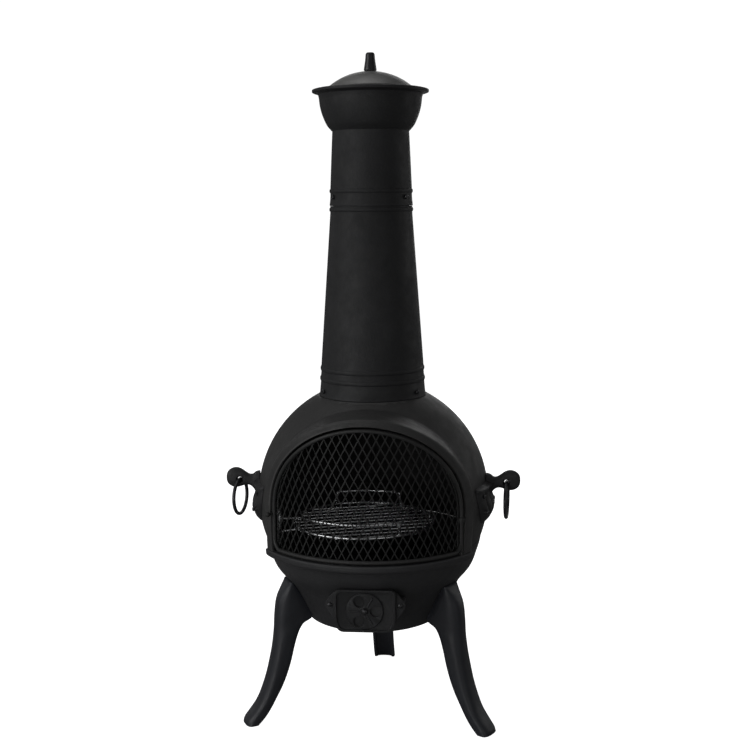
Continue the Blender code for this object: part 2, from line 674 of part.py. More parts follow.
def lattice_mesh():
    """A flat sheet of strands: diamonds in staggered rows, each inset and its middle removed."""
    cell_w, cell_h = MESH_CELL
    columns = round(2 * DOOR_R * math.radians(58) / cell_w)
    rows = round(0.27 / (cell_h / 2))
    bm = bmesh.new()
    corners = {}

    def corner(i, j):
        if (i, j) not in corners:
            corners[i, j] = bm.verts.new((i * cell_w / 2, 0, 0.335 + j * cell_h / 2))
        return corners[i, j]

    for j in range(rows + 1):
        for i in range(-columns, columns + 1):
            if (i + j) % 2 == 0:
                diamond = (corner(i - 1, j), corner(i, j - 1), corner(i + 1, j), corner(i, j + 1))
                bm.faces.new(diamond)
    bm.normal_update()
    holes = list(bm.faces)
    bmesh.ops.inset_individual(bm, faces=holes, thickness=MESH_STRAND / 2, use_even_offset=True)
    bmesh.ops.delete(bm, geom=holes, context="FACES")
    mesh = bpy.data.meshes.new("door_mesh")
    bm.to_mesh(mesh)
    bm.free()
    return mesh


def make_hinge_eye(hinge):
    """A cast eye on the jamb's inner side, round the frame's straight hinge rod."""
    low, high = HINGE_EYE_Z - 0.004, HINGE_EYE_Z + 0.004
    start, end = (hinge.x, hinge.y, low), (hinge.x, hinge.y, high)
    eye = bar("door_hinge_eye", 0.0056, start, end, STEEL, segments=20)
    jamb = MOUTH_HALF - JAMB_TAPER * (ARCH_Z - HINGE_EYE_Z) / (ARCH_Z - SEAM_Z + 0.014) - GAP
    tail_start = (hinge.x - 0.0010, hinge.y + 0.0042, low + 0.001)
    join(eye, box("hinge_eye_tail", tail_start, (jamb, hinge.y + 0.0125, high - 0.001)))
    start, end = (hinge.x, hinge.y, low - 0.01), (hinge.x, hinge.y, high + 0.01)
    cut(eye, bar("hinge_eye_bore", DOOR_ROD + 0.0005, start, end, segments=20))
    return eye


def make_pull(hinge):
    azimuth = -door_azimuth(DOOR_HALF)
    z = 0.4150
    base = polar(DOOR_R + DOOR_ROD + GAP, azimuth, z)
    out = polar(1.0, azimuth)
    knob = [(0.0, 0.0150), (0.0035, 0.0142), (0.0058, 0.0115), (0.0058, 0.0085), (0.0035, 0.0060),
            (0.0026, 0.0045), (0.0026, 0.0), (0.0, 0.0)]
    turn = Matrix.Translation(base) @ out.to_track_quat("Z", "Y").to_matrix().to_4x4()
    hang(turned("door_pull", knob, 12, ZINC, False, turn), "door_hinge_axis", hinge)


# ---- grill ----------------------------------------------------------------------------------
def around(centre, radius, degrees, z):
    """A point on a circle in plan; 0 degrees is towards +X, growing anticlockwise from above."""
    a = math.radians(degrees)
    return Vector((centre[0] + radius * math.cos(a), centre[1] + radius * math.sin(a), z))


def make_grill():
    pivot = Vector((*PIVOT, 0))
    circle = [around(GRILL_CENTRE, GRILL_R, 360 * i / GRILL_STEPS, GRILL_Z) for i in range(GRILL_STEPS)]
    ring = rod("grill_ring", circle, GRILL_WIRE, CHROME, cyclic=True, resolution=1)
    across = Vector((math.cos(BAR_ANGLE), math.sin(BAR_ANGLE), 0))
    beside = Vector((-across.y, across.x, 0))
    centre = Vector((*GRILL_CENTRE, GRILL_Z - 0.0030))
    for i in range(GRILL_BARS):
        offset = (i - (GRILL_BARS - 1) / 2) * 2 * GRILL_R / (GRILL_BARS + 1)
        reach = math.sqrt(GRILL_R**2 - offset**2) + 0.001
        middle = centre + beside * offset
        ends = (middle - across * reach, middle + across * reach)
        join(ring, bar("grill_bar_%02d" % (i + 1), GRILL_BAR, *ends, segments=6))
    move_origin(ring, pivot)

    make_rail("grill_front_rail", 208, 305, pivot)
    make_rail("grill_back_rail", 62, 118, pivot)
    make_arm(pivot)

    low, high = 0.3475, 0.4280
    post = bar("grill_post", POST_R, (*PIVOT, low), (*PIVOT, high), ZINC)
    make_post_bracket("grill_post_bracket_lower", 0.3510, -0.1834)
    make_post_bracket("grill_post_bracket_upper", 0.4180, -0.1861)
    return post


def make_rail(name, start, end, pivot):
    """A raised guard rail over part of the ring, its ends bent down on to it."""
    foot = GRILL_Z + GRILL_WIRE * math.cos(math.pi / 6) + GAP
    steps = max(4, round((end - start) / 9))
    angles = [start + (end - start) * i / steps for i in range(steps + 1)]
    arc = [around(GRILL_CENTRE, GRILL_R, degrees, RAIL_Z) for degrees in angles]
    points = [Vector((*arc[0].xy, foot)), Vector((*arc[0].xy, RAIL_Z - 0.003))] + arc[1:-1]
    points += [Vector((*arc[-1].xy, RAIL_Z - 0.003)), Vector((*arc[-1].xy, foot))]
    rail = rod(name, points, GRILL_WIRE * 0.9, CHROME, resolution=1)
    move_origin(rail, pivot)


def make_arm(pivot):
    """A sleeve round the pivot post, with two arms out to the ring and to the front rail."""
    low, high = 0.3533, 0.4120
    arm = bar("grill_arm", SLEEVE_R, (*PIVOT, low), (*PIVOT, high), CHROME, segments=20)
    reach = GRILL_R + GRILL_WIRE
    for name, degrees, z, gap in (("lower", 212, GRILL_Z, 0.0), ("upper", 217, RAIL_Z, 0.0007)):
        z -= 0.0005
        tip = around(GRILL_CENTRE, reach + gap, degrees, z)
        root = Vector((*PIVOT, z - 0.001))
        join(arm, bar("grill_arm_" + name, 0.0028, root, tip, segments=10))
    ends = ((*PIVOT, low - 0.01), (*PIVOT, high + 0.01))
    cut(arm, bar("grill_arm_bore", POST_R + 0.0004, *ends, segments=20))
    move_origin(arm, pivot)


def make_post_bracket(name, z, wall_x):
    """A plate eye from the body's inner wall at wall_x, with the post through it."""
    x, y = PIVOT
    plate = box(name, (wall_x, y - 0.0070, z - 0.002), (x, y + 0.0070, z + 0.002), STEEL)
    join(plate, bar(name + "_eye", 0.0080, (*PIVOT, z - 0.002), (*PIVOT, z + 0.002), segments=20))
    cut(plate, bar(name + "_bore", POST_R + 0.0003, (*PIVOT, z - 0.01), (*PIVOT, z + 0.01), segments=20))


# ---- fire grate -----------------------------------------------------------------------------
def make_fire_grate():
    ends = ((0, 0, GRATE_Z), (0, 0, GRATE_Z + GRATE_THICK))
    grate = bar("fire_grate", GRATE_R - 0.0040, *ends, IRON, BODY_STEPS, GRATE_R)
    pitch = 0.0240
    for i in range(-5, 6):
        x = i * pitch
        half = math.sqrt((GRATE_R - 0.016) ** 2 - x * x)
        if half > 0.02:
            low, high = (x - 0.0065, -half, GRATE_Z - 0.01), (x + 0.0065, half, GRATE_Z + 0.02)
            cut(grate, box("grate_slot_%d" % i, low, high))


# ---- air vent -------------------------------------------------------------------------------
def vent_sector(name, middle_degrees, half_degrees, y0, y1, inner=0.0095, outer=0.0285):
    a0, a1 = (math.radians(middle_degrees + s * half_degrees) for s in (-1, 1))
    count = 8
    angles = [a0 + (a1 - a0) * i / count for i in range(count + 1)]
    points = [(outer * math.cos(a), VENT_Z + outer * math.sin(a)) for a in angles]
    points += [(inner * math.cos(a), VENT_Z + inner * math.sin(a)) for a in reversed(angles)]
    return upright(name, points, y0, y1)


def make_vent(bowl):
    front = VENT_FACE_Y
    back = VENT_FACE_Y + VENT_PLATE
    half_x, half_z = VENT_HALF
    frame = box("vent_frame", (-half_x, front, VENT_Z - half_z), (half_x, back, VENT_Z + half_z), IRON)
    rim = 0.0040
    low, high = (-half_x, front - 0.0035, VENT_Z - half_z), (half_x, front + 0.001, VENT_Z + half_z)
    raised = box("vent_rim", low, high)
    cut(raised, box("vent_rim_inside", (-half_x + rim, front - 0.01, VENT_Z - half_z + rim),
                    (half_x - rim, front + 0.01, VENT_Z + half_z - rim)))
    join(frame, raised)
    ear_front, ear_back = front + 0.0040, front + 0.0092
    for side in (-1, 1):
        x = side * half_x
        tip = side * (half_x + 0.0185)
        mid = side * (half_x + 0.0085)
        ear = [(x - side * 0.004, VENT_Z + 0.024), (mid, VENT_Z + 0.019), (tip, VENT_Z + 0.009),
               (mid, VENT_Z - 0.001), (x - side * 0.004, VENT_Z - 0.006)]
        if side > 0:
            ear.reverse()
        join(frame, upright("vent_ear_%d" % side, ear, ear_front, ear_back))
    clear_low, clear_high = (-0.09, ear_back - 0.02, VENT_Z - 0.03), (0.09, ear_back + GAP, VENT_Z + 0.03)
    cut(bowl, box("vent_ear_clearance", clear_low, clear_high))
    for i in range(3):
        cut(frame, vent_sector("vent_port_%d" % (i + 1), 60 + 120 * i, 28, front - 0.01, back + 0.01))

    disc_back = front - GAP
    disc_front = disc_back - DAMPER_THICK
    centre = Vector((0, 0, VENT_Z))
    back_point = centre + Vector((0, disc_back, 0))
    front_point = centre + Vector((0, disc_front, 0))
    disc = bar("vent_damper", DAMPER_R, back_point, front_point, IRON, segments=32)
    for i in range(3):
        port = vent_sector("damper_port_%d" % (i + 1), 120 * i, 28, disc_front - 0.01, disc_back + 0.01)
        cut(disc, port)
    for i in range(3):
        a = math.radians(60 + 120 * i)
        tip = Vector((0.026 * math.cos(a), 0, 0.026 * math.sin(a)))
        ends = (front_point + tip * 0.38, front_point + tip)
        join(disc, bar("damper_rib_%d" % (i + 1), 0.0022, *ends, segments=8))
    bore = bar("damper_bore", 0.0032, back_point + Vector((0, 0.02, 0)), front_point - Vector((0, 0.02, 0)))
    cut(disc, bore)
    cut(frame, bore)
    move_origin(disc, (0, disc_back, VENT_Z))

    head = Vector((0, disc_front - 0.0005, VENT_Z))
    rivet = [(0.0, 0.0038), (0.0032, 0.0033), (0.0056, 0.0018), (0.0062, 0.0), (0.0028, 0.0),
             (0.0028, -0.0125), (0.0, -0.0125)]
    turn = Matrix.Translation(head) @ Matrix.Rotation(math.pi / 2, 4, "X")
    turned("vent_rivet", rivet, 14, ZINC, False, turn)
    for side, name in ((-1, "left"), (1, "right")):
        x = side * (half_x + 0.0085)
        fastener("vent_screw_" + name, Vector((x, ear_front - GAP, VENT_Z + 0.009)), (0, 1, 0),
                 0.0048, 0.0030, 0.0024, 0.0180, (frame, bowl))


# ---- handles --------------------------------------------------------------------------------
def make_handle(side, body):
    sign = 1 if side == "right" else -1
    azimuth = sign * HANDLE_AZIMUTH
    turn = facing(azimuth)
    name = "handle_bracket_" + side
    outer = [(sphere_r(z) + relief, z) for z, relief in reversed(SHIELD_RELIEF)]
    bottom, top = SHIELD_RELIEF[0][0], SHIELD_RELIEF[-1][0]
    inner = [(sphere_r(z) + GAP + 0.0004, z) for z in (bottom + (top - bottom) * i / 5 for i in range(6))]
    shield = sector(name, outer + inner, azimuth, SHIELD_SPAN, 8, IRON)
    high, low = top + 0.002, bottom - 0.002
    wide = SPHERE_R * math.sin(SHIELD_SPAN)
    narrow = SPHERE_R * math.sin(SHIELD_SPAN_LOW)
    outline = [(-wide * 0.55, high), (-wide * 0.97, 0.4520), (-wide * 0.90, 0.4300), (-narrow, 0.4000),
               (-narrow * 0.75, low), (narrow * 0.75, low), (narrow, 0.4000), (wide * 0.90, 0.4300),
               (wide * 0.97, 0.4520), (wide * 0.55, high)]
    tulip = slab_mesh(name + "_outline", outline, 0.12)
    tulip.transform(turn @ Matrix.Translation((0.20, 0, 0)) @ Matrix.Rotation(math.pi / 2, 4, "Z")
                    @ Matrix.Rotation(math.pi / 2, 4, "X"))
    keep(shield, place(name + "_outline", tulip))

    def local(x, y, z):
        return turn @ Vector((x, y, z))

    neck = [local(0.2330, 0, 0.4455), local(0.2400, 0, 0.4500), local(0.2480, 0, 0.4535),
            local(0.2560, 0, 0.4555)]
    join(shield, rod(name + "_neck", neck, 0.0100, resolution=2))
    half = KNUCKLE_THICK / 2
    ends = (local(KNUCKLE[0], -half, KNUCKLE[1]), local(KNUCKLE[0], half, KNUCKLE[1]))
    join(shield, bar(name + "_knuckle", KNUCKLE_R, *ends, segments=20))
    ends = (local(EYE[0], -0.03, EYE[1]), local(EYE[0], 0.03, EYE[1]))
    cut(shield, bar(name + "_eye", EYE_R, *ends, segments=12))

    for row, (z, relief) in (("upper", (0.4385, 0.0078)), ("lower", (0.4090, 0.0134))):
        for column, offset in (("front", -14.5), ("rear", 14.5)):
            around_z = azimuth + sign * offset
            head = polar(sphere_r(z) + relief + 0.0006, around_z, z)
            screw = "handle_screw_%s_%s_%s" % (side, column, row)
            inward = -polar(1.0, around_z)
            fastener(screw, head, inward, 0.0044, 0.0028, 0.0024, relief + 0.0105, (shield, body))

    ring_top = EYE[1] - EYE_R + RING_WIRE + GAP + 0.0017
    middle = local(EYE[0], 0, ring_top - RING_R)
    twist = Matrix.Rotation(math.radians(azimuth - 90) + RING_TWIST[side], 4, "Z")
    points = []
    for i in range(20):
        a = math.tau * i / 20
        points.append(middle + twist @ Vector((0, RING_R * math.cos(a), RING_R * math.sin(a))))
    ring = rod("handle_ring_" + side, points, RING_WIRE, PAINT, cyclic=True, resolution=1)
    move_origin(ring, local(EYE[0], 0, ring_top))


# ---- assembly -------------------------------------------------------------------------------
def build():
    body = make_upper_body()
    bowl = make_lower_bowl()
    lower = make_chimney_lower()
    upper = make_chimney_upper()
    make_crown()
    make_lid()
    make_lugs(body, bowl)
    make_chimney_screws(body, lower, upper)
    make_legs(bowl)
    make_door(bowl)
    make_grill()
    make_fire_grate()
    make_vent(bowl)
    make_handle("right", body)
    make_handle("left", body)


build()
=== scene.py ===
"""Looks of a cast-iron chiminea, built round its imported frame.

Shapes are laid out about the flue axis, in metres, and moved to it when they are placed.
"""

import json
from math import asin, atan, atan2, copysign, cos, dist, hypot, pi, radians, sin, sqrt, tau

import bmesh
import bpy
import numpy as np
from mathutils import Matrix, Vector

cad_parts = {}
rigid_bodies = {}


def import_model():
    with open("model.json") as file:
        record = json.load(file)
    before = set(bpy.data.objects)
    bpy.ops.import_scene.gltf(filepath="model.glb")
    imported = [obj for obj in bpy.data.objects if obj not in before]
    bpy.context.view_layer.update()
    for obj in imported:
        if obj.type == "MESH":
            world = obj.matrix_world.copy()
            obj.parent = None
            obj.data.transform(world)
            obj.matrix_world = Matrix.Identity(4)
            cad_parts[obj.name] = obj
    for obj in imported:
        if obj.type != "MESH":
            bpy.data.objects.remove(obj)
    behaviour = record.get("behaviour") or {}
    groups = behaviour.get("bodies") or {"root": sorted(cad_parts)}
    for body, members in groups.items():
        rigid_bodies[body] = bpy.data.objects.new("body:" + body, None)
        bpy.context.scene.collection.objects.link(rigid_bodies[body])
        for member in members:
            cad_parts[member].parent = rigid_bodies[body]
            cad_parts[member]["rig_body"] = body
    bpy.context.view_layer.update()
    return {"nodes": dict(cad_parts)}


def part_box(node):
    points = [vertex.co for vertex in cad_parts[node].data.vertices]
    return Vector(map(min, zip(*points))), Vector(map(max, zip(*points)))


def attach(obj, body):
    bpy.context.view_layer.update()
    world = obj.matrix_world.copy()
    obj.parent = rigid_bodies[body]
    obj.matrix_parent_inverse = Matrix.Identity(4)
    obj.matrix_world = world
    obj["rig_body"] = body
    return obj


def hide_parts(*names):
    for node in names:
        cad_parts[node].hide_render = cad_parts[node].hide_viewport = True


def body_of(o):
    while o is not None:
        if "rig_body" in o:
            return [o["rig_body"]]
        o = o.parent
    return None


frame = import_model()
SCENE = bpy.context.scene


def centre_of(node):
    low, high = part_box(node)
    return (low + high) / 2


# ---- driving dimensions, taken from the frame where it holds them ---------------------------
FLUE = Vector((0, centre_of("chimney_lower").y, 0))
BODY_LOW, BODY_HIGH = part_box("upper_body")
BOWL_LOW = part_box("lower_bowl")[0]
SPHERE_R = (BODY_HIGH.x - BODY_LOW.x) / 2
SPHERE_Z = 0.4229
HOOD_R = FLUE.y - BODY_LOW.y
SEAM_Z = BODY_LOW.z
NECK_Z = 0.6165
SPIGOT_TOP = BODY_HIGH.z
WALL = 0.005
CUT_PAST = 0.01  # how far a cutter reaches past what it cuts

ARCH_Z = 0.425  # where the jambs turn into the arch
MOUTH_HALF, MOUTH_RISE = 0.1795, 0.168
BAND = 0.013  # width of the band round the mouth
JAMB_TAPER = 0.0035
HEARTH_R = FLUE.y - BOWL_LOW.y
HEARTH_Z = 0.3277
HEARTH_SPAN = radians(61)

DOOR_R = 0.2178
DOOR_ROD = 0.0035
DOOR_HALF, DOOR_RISE = 0.171, 0.1605
DOOR_FOOT_Z = 0.3492
MESH_R = 0.212
MESH_CELL = (0.0157, 0.029)
STRAND = 0.0021
STRAND_LEAN = 0.0009  # how far each strand's edges lean out of the sheet

GRILL_CENTRE = centre_of("grill_ring") - FLUE
GRILL_R = 0.136
GRILL_Z = 0.372
RAIL_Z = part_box("grill_front_rail")[1].z - 0.0027
PIVOT = centre_of("grill_post") - FLUE
BAR_ANGLE = radians(18)

VENT_LOW, VENT_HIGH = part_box("vent_frame")
DAMPER = centre_of("vent_damper") - FLUE
VENT_Z = DAMPER.z
VENT_HALF_X, VENT_HALF_Z = 0.055, (VENT_HIGH.z - VENT_LOW.z) / 2
VENT_FACE_Y = VENT_LOW.y - FLUE.y + 0.0035

LEG_WIDTH = 0.044
LEG_AZIMUTHS = {"leg_front_right": 60, "leg_front_left": -64, "leg_rear": 180}
HANDLE_AZIMUTH = 84
EYE = (0.256, 0.4545)  # radius and height of the hole that the ring hangs in
RING_TWIST = {"right": 0.0, "left": radians(-17)}


# ---- materials ------------------------------------------------------------------------------
def set_inputs(node, values):
    for name, value in values.items():
        node.inputs[name].default_value = value


class Look:
    """A procedural material under construction: a Principled shader and short ways to feed it."""

    def __init__(self, name):
        self.mat = bpy.data.materials.new(name)
        self.mat.use_nodes = True
        self.tree = self.mat.node_tree
        self.shader = self.tree.nodes["Principled BSDF"]
        self.where = self.tree.nodes.new("ShaderNodeTexCoord").outputs["Object"]

    def link(self, source, target):
        self.tree.links.new(source, target)

    def add(self, kind, socket, source, values):
        """Adds a node, feeds one of its inputs and sets others."""
        node = self.tree.nodes.new("ShaderNode" + kind)
        self.link(source, node.inputs[socket])
        set_inputs(node, values)
        return node

    def noise(self, scale, detail):
        values = {"Scale": scale, "Detail": detail, "Roughness": 0.6}
        return self.add("TexNoise", "Vector", self.where, values).outputs["Fac"]

    def cells(self, scale):
        return self.add("TexVoronoi", "Vector", self.where, {"Scale": scale}).outputs["Distance"]

    def ramp(self, source, stops):
        node = self.add("ValToRGB", "Fac", source, {})
        ramp = node.color_ramp
        while len(ramp.elements) < len(stops):
            ramp.elements.new(0.5)
        for element, (place, colour) in zip(ramp.elements, stops):
            element.position = place
            element.color = (*colour, 1)
        return node.outputs["Color"]

    def span(self, source, low, high, start=0.3, end=0.7):
        """Maps a pattern to a range of plain values."""
        values = {"From Min": start, "From Max": end, "To Min": low, "To Max": high}
        return self.add("MapRange", "Value", source, values).outputs["Result"]

    def mix(self, factor, first, second):
        node = self.tree.nodes.new("ShaderNodeMix")
        node.data_type = "RGBA"
        self.link(factor, node.inputs["Factor"])
        for socket, value in ((node.inputs[6], first), (node.inputs[7], second)):
            if isinstance(value, tuple):
                socket.default_value = (*value, 1)
            else:
                self.link(value, socket)
        return node.outputs[2]

    def bump(self, pattern, depth):
        """Adds a bump, its depth in metres, over those already there."""
        node = self.add("Bump", "Height", pattern, {"Strength": 1.0, "Distance": depth})
        normal = self.shader.inputs["Normal"]
        if normal.links:
            self.link(normal.links[0].from_socket, node.inputs["Normal"])
        self.link(node.outputs["Normal"], normal)

    def edges(self):
        """Bright on convex edges, dark in corners."""
        return self.tree.nodes.new("ShaderNodeNewGeometry").outputs["Pointiness"]


def finish(name, dark, light, blotch, rough, bumps, speck=None, worn=None, metallic=0.0, specular=0.5):
    """Blotched colour with specks and rubbed edges, uneven gloss and layered bumps.

    blotch is (scale, detail, start, end) and rough is (scale, detail, low, high). speck is
    (scale, colour, strength, start, end), and worn the same without a scale. Each bump is
    (scale, detail, depth in metres), where no detail means round pits.
    """
    look = Look(name)
    scale, detail, start, end = blotch
    colour = look.ramp(look.noise(scale, detail), [(start, dark), (end, light)])
    if speck:
        grain, tone, strength, start, end = speck
        colour = look.mix(look.span(look.noise(grain, 2.0), 0.0, strength, start, end), colour, tone)
    if worn:
        tone, strength, start, end = worn
        colour = look.mix(look.span(look.edges(), 0.0, strength, start, end), colour, tone)
    look.link(colour, look.shader.inputs["Base Color"])
    scale, detail, low, high = rough
    look.link(look.span(look.noise(scale, detail), low, high), look.shader.inputs["Roughness"])
    set_inputs(look.shader, {"Metallic": metallic, "Specular IOR Level": specular})
    for scale, detail, depth in bumps:
        look.bump(look.noise(scale, detail) if detail else look.cells(scale), depth)
    return look.mat


def scaled(colour, factor):
    return tuple(c * factor for c in colour)


def cast_iron(name, dark, light, grain=1.0, specular=0.5):
    """Matt black stove paint over sand-cast iron: a fine grain, soft blotches and rubbed edges."""
    bumps = [(60.0, 3.0, 0.00035 * grain), (520.0, 3.0, 0.00016 * grain), (900.0, None, 0.00007 * grain)]
    speck = (620.0, scaled(light, 1.9), 0.35, 0.52, 0.78)
    worn = (scaled(light, 2.6), 0.55, 0.515, 0.6)
    blotch, rough = (9.0, 5.0, 0.3, 0.72), (38.0, 6.0, 0.52, 0.72)
    return finish(name, dark, light, blotch, rough, bumps, speck, worn, 0.0, specular)


def satin_paint(name, dark, light, low, high):
    """Smooth satin black paint with slight orange peel and a few scuffs."""
    bumps = [(130.0, 2.0, 0.00018), (700.0, 2.0, 0.00004)]
    worn = (scaled(light, 2.8), 0.6, 0.52, 0.62)
    return finish(name, dark, light, (14.0, 4.0, 0.3, 0.7), (55.0, 5.0, low, high), bumps, worn=worn)


IRON = cast_iron("stove_black_iron", (0.016, 0.0163, 0.0176), (0.0242, 0.0246, 0.0262))
FLUE_IRON = cast_iron("stove_black_flue", (0.0095, 0.0097, 0.0105), (0.0146, 0.0149, 0.016), 1.0, 0.38)
# The dome's iron is painted lighter and warmer than the rest: painted light for its top, which faces the
# lamps above.
LIT_DOME_IRON = cast_iron("stove_black_dome_painted_light", (0.019, 0.019, 0.019), (0.029, 0.0288, 0.0285), 1.15)
HANDLE_IRON = cast_iron("stove_black_handle", (0.0115, 0.0115, 0.0125), (0.02, 0.02, 0.0212), 0.8)
# The legs' satin black paint has a bluish cast that is a painted sheen, standing for the light their
# upright faces catch.
LEG_PAINT_BLUE_SHEEN = satin_paint("leg_black_painted_blue_sheen", (0.0125, 0.0137, 0.018), (0.019, 0.0208, 0.0268), 0.4, 0.56)
BLACK_PAINT = satin_paint("ring_black", (0.012, 0.012, 0.014), (0.02, 0.02, 0.023), 0.3, 0.46)
MESH_PAINT = satin_paint("mesh_black", (0.01, 0.0103, 0.0103), (0.017, 0.0173, 0.017), 0.5, 0.7)
# The firebox's inside is rougher, darker and a little uneven.
SOOT = finish(
    "firebox_soot", (0.006, 0.006, 0.006), (0.016, 0.015, 0.015), (16.0, 6.0, 0.3, 0.75),
    (45.0, 4.0, 0.7, 0.92), [(80.0, 5.0, 0.0006), (600.0, 3.0, 0.0002)],
)
# The lid has a thinner grey finish.
LID_GREY = finish(
    "lid_grey", (0.13, 0.13, 0.128), (0.185, 0.185, 0.181), (22.0, 5.0, 0.3, 0.7),
    (40.0, 5.0, 0.34, 0.5), [(90.0, 3.0, 0.0002), (560.0, 2.0, 0.00007)],
    (420.0, (0.22, 0.22, 0.215), 0.3, 0.5, 0.8), metallic=0.35,
)
# Bright plated wire has faint smears and drawing marks.
CHROME = finish(
    "grill_chrome", (0.68, 0.69, 0.7), (0.9, 0.91, 0.92), (30.0, 4.0, 0.3, 0.7),
    (90.0, 4.0, 0.2, 0.36), [(160.0, 2.0, 0.00006), (900.0, 2.0, 0.00002)], metallic=1.0,
)
# Screws, nuts and pins are blackened plate, rubbed bright in places.
ZINC = finish(
    "blackened_zinc", (0.03, 0.03, 0.032), (0.11, 0.11, 0.115), (150.0, 4.0, 0.35, 0.75),
    (220.0, 4.0, 0.28, 0.5), [(500.0, 3.0, 0.00008)], metallic=0.85,
)


# ---- placing --------------------------------------------------------------------------------
def place(name, mesh, mat, body, stands_for, slot, sharp=40):
    """Links a mesh made about the flue axis, rides it on a body and hides the frame parts it stands for."""
    mesh.transform(Matrix.Translation(FLUE))
    mesh.name = name
    obj = bpy.data.objects.new(name, mesh)
    SCENE.collection.objects.link(obj)
    if not mesh.materials:
        mesh.materials.append(mat)
    mesh.shade_smooth()
    mesh.set_sharp_from_angle(angle=radians(sharp))
    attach(obj, body)
    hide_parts(*stands_for)


def place_iron(name, mesh, mat, node, sharp=40):
    """Places a casting of the fixed body."""
    place(name, mesh, mat, "body", [node], "body_iron", sharp)


def to_mesh(bm):
    mesh = bpy.data.meshes.new("shape")
    bm.to_mesh(mesh)
    bm.free()
    return mesh


def outward(bm):
    bmesh.ops.recalc_face_normals(bm, faces=bm.faces)
    return bm


def with_modifiers(mesh, *settings):
    """Applies modifiers, each (type, {name: value}), to a mesh and returns the result."""
    obj = bpy.data.objects.new("working", mesh)
    SCENE.collection.objects.link(obj)
    for kind, values in settings:
        mod = obj.modifiers.new(kind.lower(), kind)
        for key, value in values.items():
            setattr(mod, key, value)
    graph = bpy.context.evaluated_depsgraph_get()
    result = bpy.data.meshes.new_from_object(obj.evaluated_get(graph))
    bpy.data.objects.remove(obj)
    return result


def softened(mesh, width, segments=2, angle=35):
    """Rounds a mesh's edges."""
    limit = radians(angle)
    bevel = {"width": width, "segments": segments, "limit_method": "ANGLE", "angle_limit": limit}
    return with_modifiers(mesh, ("BEVEL", bevel))


def combined(mesh, others, operation="UNION"):
    """Applies Booleans of other meshes to a mesh."""
    helpers = []
    steps = []
    for other in others:
        helper = bpy.data.objects.new("helper", other)
        SCENE.collection.objects.link(helper)
        helpers.append(helper)
        steps.append(("BOOLEAN", {"operation": operation, "solver": "EXACT", "object": helper}))
    result = with_modifiers(mesh, *steps)
    for helper in helpers:
        bpy.data.objects.remove(helper)
    return result


def merged(meshes):
    """One mesh holding several shapes."""
    bm = bmesh.new()
    for mesh in meshes:
        bm.from_mesh(mesh)
    return to_mesh(bm)


# ---- shapes ---------------------------------------------------------------------------------
def facing(azimuth):
    """Turns local +X to point outwards at this azimuth."""
    return Matrix.Rotation(radians(azimuth - 90), 4, "Z")


def rounded(points, reach, count=4, closed=True):
    """Replaces each corner of an outline with a short curve starting `reach` away from it."""
    points = [Vector(p) for p in points]
    result = []
    last = len(points) - 1
    for i, corner in enumerate(points):
        if not closed and i in (0, last):
            result.append(corner)
            continue
        before, after = points[i - 1], points[(i + 1) % len(points)]
        d0 = min(reach, (before - corner).length * 0.48)
        d1 = min(reach, (after - corner).length * 0.48)
        a = corner + (before - corner).normalized() * d0
        b = corner + (after - corner).normalized() * d1
        for k in range(count + 1):
            t = k / count
            result.append(a * (1 - t) ** 2 + corner * 2 * t * (1 - t) + b * t * t)
    return result


def flowing(points, count):
    """A smooth curve through every point."""
    points = [Vector(p) for p in points]
    ends = [points[0] * 2 - points[1]] + points + [points[-1] * 2 - points[-2]]
    result = []
    for p0, p1, p2, p3 in zip(ends, ends[1:], ends[2:], ends[3:]):
        for k in range(count):
            t = k / count
            slope = (p2 - p0) * t
            square = (p0 * 2 - p1 * 5 + p2 * 4 - p3) * t * t
            cube = (p1 * 3 - p0 - p2 * 3 + p3) * t**3
            result.append((p1 * 2 + slope + square + cube) / 2)
    return result + [points[-1]]


def lofted(loops, cyclic=False):
    """Skins a series of loops, each with the same number of points, and closes its ends."""
    bm = bmesh.new()
    rows = [[bm.verts.new(p) for p in loop] for loop in loops]
    pairs = list(zip(rows, rows[1:]))
    if cyclic:
        pairs.append((rows[-1], rows[0]))
    for first, second in pairs:
        for i in range(len(first)):
            bm.faces.new((first[i - 1], first[i], second[i], second[i - 1]))
    if not cyclic:
        bm.faces.new(rows[0])
        bm.faces.new(rows[-1])
    return to_mesh(outward(bm))


def turned(profile, steps=112):
    """A closed profile of (radius, z) turned about Z. Points on the axis become one vertex."""
    bm = bmesh.new()
    columns = []
    for s in range(steps):
        a = tau * s / steps
        columns.append([bm.verts.new((r * cos(a), r * sin(a), z)) for r, z in profile])
    for s in range(steps):
        first, second = columns[s - 1], columns[s]
        for i in range(len(profile)):
            bm.faces.new((first[i - 1], first[i], second[i], second[i - 1]))
    bmesh.ops.remove_doubles(bm, verts=bm.verts, dist=1e-6)
    bmesh.ops.dissolve_degenerate(bm, edges=bm.edges, dist=1e-7)
    return to_mesh(outward(bm))


def tube(points, radius, cyclic=False, sides=14):
    """A round wire along a path, with parallel-carried rings and domed ends."""
    points = [Vector(p) for p in points]
    n = len(points)
    tangents = []
    for i in range(n):
        before = points[i - 1] if cyclic or i > 0 else points[i]
        after = points[(i + 1) % n] if cyclic or i < n - 1 else points[i]
        tangents.append((after - before).normalized())
    side = tangents[0].orthogonal().normalized()
    loops = []
    for i in range(n):
        side = (side - tangents[i] * side.dot(tangents[i])).normalized()
        other = tangents[i].cross(side)
        ring = []
        for k in range(sides):
            a = tau * k / sides
            ring.append(points[i] + (side * cos(a) + other * sin(a)) * radius)
        loops.append(ring)
    if not cyclic:
        loops.insert(0, domed(loops[0], points[0], -tangents[0] * radius * 0.35))
        loops.append(domed(loops[-1], points[-1], tangents[-1] * radius * 0.35))
    return lofted(loops, cyclic=cyclic)


def domed(ring, middle, push):
    return [middle + (p - middle) * 0.6 + push for p in ring]


